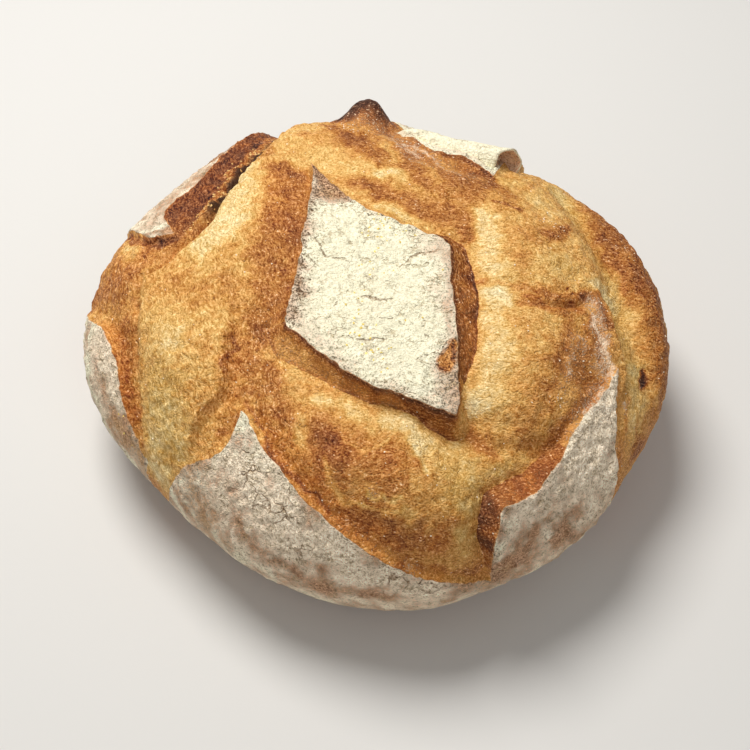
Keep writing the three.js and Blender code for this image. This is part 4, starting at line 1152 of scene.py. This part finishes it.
def roll_mesh(sides=72, rings=90, inner_rings=22):
    """A tapering tube that is closed at its thin end and bored out from its wide one."""
    path = np.array(ROLL_PATH, float)
    t = np.linspace(0, 1, rings)
    sizes = rounded(np.column_stack([path, ROLL_RADIUS]), steps=24, sharp=180)
    knots = rounded(np.column_stack(on_crust(*path.T)), steps=24, sharp=180)
    along = np.linspace(0, 1, len(knots))
    radius = np.interp(t, along, sizes[:, 3])
    centre = np.column_stack([np.interp(t, along, knots[:, k]) for k in range(3)])
    up = np.column_stack([np.interp(t, along, knots[:, 3 + k]) for k in range(3)])
    tangent = np.gradient(centre, axis=0)
    tangent /= np.linalg.norm(tangent, axis=1)[:, None]
    side = np.cross(tangent, up)
    side /= np.linalg.norm(side, axis=1)[:, None]
    up = np.cross(side, tangent)
    length = np.concatenate([[0], np.cumsum(np.linalg.norm(np.diff(centre, axis=0), axis=1))])
    a = np.linspace(0, 2 * math.pi, sides, endpoint=False)
    rows, inside_row = [], []

    def ring(k, size, push=0.0):
        """One ring, uneven and lumpy, and towards the mouth slanted."""
        opening = smooth((length[k] - length[-1] + ROLL_SLANT) / ROLL_SLANT)
        wobble = 1 + 0.05 * np.sin(2 * a + length[k] * 0.11) + 0.03 * np.sin(5 * a + length[k] * 0.3)
        lump = 0.35 * hills(np.full(sides, length[k]), a * 6.5, 5, 91, 2)
        reach = size * wobble + lump
        spot = centre[k] + np.outer(push - 0.75 * opening * np.cos(a) * reach, tangent[k])
        return spot + np.outer(np.cos(a) * reach, side[k]) + np.outer(np.sin(a) * reach * 1.08, up[k])

    # outside, from the thin end to the mouth
    rows.append(ring(0, 0.3, -1.5))
    inside_row.append(False)
    for k in range(rings):
        taper = smooth(0.35 + length[k] / 10)
        rows.append(ring(k, radius[k] * taper))
        inside_row.append(False)
    last = rings - 1
    uneven = 0.45 * np.sin(a * 2 + 0.6) + 0.25 * np.sin(a * 5)      # how the mouth's edge comes and goes
    rows[-1] = rows[-1] + np.outer(uneven, tangent[last])
    rows.append(ring(last, radius[last] - ROLL_WALL * 0.45, 0.45) + np.outer(uneven, tangent[last]))
    inside_row.append(False)

    # inside, from the mouth to the end of the hollow
    for depth in np.linspace(0, ROLL_DEPTH, inner_rings):
        k = int(np.argmin(np.abs(length - (length[last] - depth))))
        size = (radius[last] - ROLL_WALL) * (1 - 0.85 * (depth / ROLL_DEPTH) ** 2.2)
        rows.append(ring(k, size) + np.outer(uneven * (1 - depth / ROLL_DEPTH), tangent[last]))
        inside_row.append(True)

    corners = np.concatenate(rows)
    faces = []
    for r in range(len(rows) - 1):
        for j in range(sides):
            n = (j + 1) % sides
            faces.append((r * sides + j, r * sides + n, (r + 1) * sides + n, (r + 1) * sides + j))
    faces.append(tuple(range(sides - 1, -1, -1)))
    faces.append(tuple((len(rows) - 1) * sides + j for j in range(sides)))
    return corners, faces, np.repeat(inside_row, sides)


corners, faces, hollow = roll_mesh()
# Floured all over, but for the mouth, which is bare brown inside, made darker there as painted shade in
# the hollow. What isn't named is 0.
roll_look = {"bake": 0.55 + 0.25 * hollow, "dust": 0.80 - 0.11 * hollow, "skin bake": 0.6,
             "skin dust": 0.98, "skin": 1.0 - hollow, "wall bake": 0.6, "lengthwise": 0.3,
             "warmth": 0.54}
values = {name: roll_look.get(name, 0.0) + np.zeros(len(corners))
          for name in look if "strewn" not in name}
roll = made_piece("rolled_lip", corners, faces, values, crust.data.materials[0])
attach(roll, "root")

# --- The strewn flour -------------------------------------------------------------------------
# Specks and clumps of dry wheat flour that fell on the torn crust from the baker's hands and the
# peel. They only lie on it, and stay because the crust is rough.

BALL_RADIUS = 0.5 * MM          # of the balls that the bits are made from, before they are scaled
ROUGHNESS_CELLS = 1400.0        # to the metre
ROUGHNESS = 0.9 * MM
MOST_TURN = (0.5, 0.5, 6.283)   # radians: tipped a little, turned all round


def strewn(name, over, share, per_square, smallest, largest, flatness, seed, material):
    """Small dry bits strewn over a piece where its value `share` is high, as one piece.
    They are rough balls, from the smallest to the largest in millimetres, flattened and turned."""
    tree = bpy.data.node_groups.new(name, "GeometryNodeTree")
    sockets = tree.interface
    sockets.new_socket("Under them", in_out="INPUT", socket_type="NodeSocketGeometry")
    thickness = sockets.new_socket("Bits to the square metre", in_out="INPUT",
                                   socket_type="NodeSocketFloat")
    sockets.new_socket("Bits", in_out="OUTPUT", socket_type="NodeSocketGeometry")
    g = Nodes(tree)

    def random_between(low_end, high_end, its_seed):
        return g.node("FunctionNodeRandomValue", {"data_type": "FLOAT_VECTOR"},
                      {"Min": low_end, "Max": high_end, "Seed": its_seed})

    lies = g.node("GeometryNodeInputNamedAttribute", {"data_type": "FLOAT"}, {"Name": share})
    density = lies * g.node("NodeGroupInput", give="Bits to the square metre")
    under = g.node("NodeGroupInput", give="Under them")
    spots = g.node("GeometryNodeDistributePointsOnFaces", {"distribute_method": "RANDOM"},
                   {"Mesh": under, "Density": density, "Seed": seed})
    ball = g.node("GeometryNodeMeshIcoSphere", {}, {"Radius": BALL_RADIUS, "Subdivisions": 1})
    noise = g.node("ShaderNodeTexNoise", {}, {"Scale": ROUGHNESS_CELLS, "Detail": 1.0}, "Color")
    rough = g.node("GeometryNodeSetPosition", {}, {"Geometry": ball, "Offset": g.push(noise, ROUGHNESS)})
    turn = random_between((0, 0, 0), MOST_TURN, seed + 1)
    size = random_between((smallest, smallest, smallest * flatness),
                          (largest, largest, largest * flatness), seed + 2)
    bits = g.node("GeometryNodeInstanceOnPoints", {},
                  {"Points": spots, "Instance": rough, "Rotation": turn, "Scale": size})
    plain = g.node("GeometryNodeRealizeInstances", {}, {"Geometry": bits})
    done = g.node("GeometryNodeSetMaterial", {}, {"Geometry": plain, "Material": material})
    g.node("NodeGroupOutput", {}, {"Bits": done})

    piece = bpy.data.objects.new(name, over.data.copy())
    bpy.context.scene.collection.objects.link(piece)
    strewing = piece.modifiers.new(name, "NODES")
    strewing.node_group = tree
    strewing[thickness.identifier] = float(per_square)
    bpy.context.view_layer.update()
    finished = piece.evaluated_get(bpy.context.evaluated_depsgraph_get())
    mesh = bpy.data.meshes.new_from_object(finished)
    piece.modifiers.remove(strewing)
    piece.data = mesh
    mesh.name = name
    return piece


def dry_finish(name, pale, deep):
    """Dull and dry, each bit a shade of its own."""
    f = Finish(name)
    at = f.node("ShaderNodeTexCoord", {}, give="Object")
    shade = f.grain(at, 1.2, 1.0).eased(-0.6, 0.6)
    return f.finished(**{"Base Color": f.mix(shade, deep, pale), "Roughness": 0.9,
                         "Specular IOR Level": 0.2})


flour_bits = strewn("strewn_flour", crust, "strewn flour", per_square=90000, smallest=0.25, largest=1.0,
                    flatness=0.6, seed=5,
                    material=dry_finish("flour", linear(255, 240, 214), linear(240, 212, 178)))
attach(flour_bits, "root")

# --- The semolina -----------------------------------------------------------------------------
# Yellow grains of durum semolina among the flour on the middle plate, dry and loose on it.

semolina = strewn("semolina", crust, "strewn semolina", per_square=60000, smallest=0.5, largest=1.3,
                  flatness=0.8, seed=11,
                  material=dry_finish("semolina", linear(252, 236, 150), linear(244, 208, 96)))
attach(semolina, "root")

# --- The torn crumb ---------------------------------------------------------------------------
# Flakes of crumb that dried where they tore, along the crack under the ear. They are part of
# the bread and hold on by their lower edges.

torn_crumb = strewn("torn_crumb", crust, "strewn crumb", per_square=260000, smallest=0.6, largest=1.7,
                    flatness=0.4, seed=17,
                    material=dry_finish("crumb", linear(238, 198, 134), linear(200, 146, 80)))
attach(torn_crumb, "root")

# --- The floor and the light ------------------------------------------------------------------
# A plain pale table, a big soft light above and a little behind, and weak light all round.

TABLE_HALF = 3
LOAF_MIDDLE = Vector((0, 0, 0.05))
ROOM_LIGHT = 0.25

floor_mesh = bpy.data.meshes.new("floor")
floor_corners = [(TABLE_HALF * x, TABLE_HALF * y, 0) for x, y in ((-1, -1), (1, -1), (1, 1), (-1, 1))]
floor_mesh.from_pydata(floor_corners, [], [(0, 1, 2, 3)])
floor = bpy.data.objects.new("floor", floor_mesh)
bpy.context.scene.collection.objects.link(floor)
table = Finish("table").finished(**{"Base Color": linear(226, 224, 220), "Roughness": 0.9})
floor_mesh.materials.append(table)


def soft_light(name, place, size, power, colour=(1, 1, 1)):
    """A round soft light, so many metres across and watts strong, turned to the loaf's middle."""
    lamp = bpy.data.lights.new(name, "AREA")
    lamp.shape = "DISK"
    lamp.size = size
    lamp.energy = power
    lamp.color = colour
    light = bpy.data.objects.new(name, lamp)
    bpy.context.scene.collection.objects.link(light)
    light.location = place
    light.rotation_euler = (LOAF_MIDDLE - Vector(place)).to_track_quat("-Z", "Y").to_euler()


soft_light("overhead", (-0.28, 0.38, 1.1), size=0.55, power=12.6, colour=(1, 0.985, 0.96))
soft_light("front fill", (0.3, -1.0, 1.0), size=1.0, power=2.2)
world = bpy.data.worlds.new("room")
world.use_nodes = True
world.node_tree.nodes["Background"].inputs["Color"].default_value = (1, 1, 1, 1)
world.node_tree.nodes["Background"].inputs["Strength"].default_value = ROOM_LIGHT
bpy.context.scene.world = world
bpy.context.scene.view_settings.view_transform = "Standard"
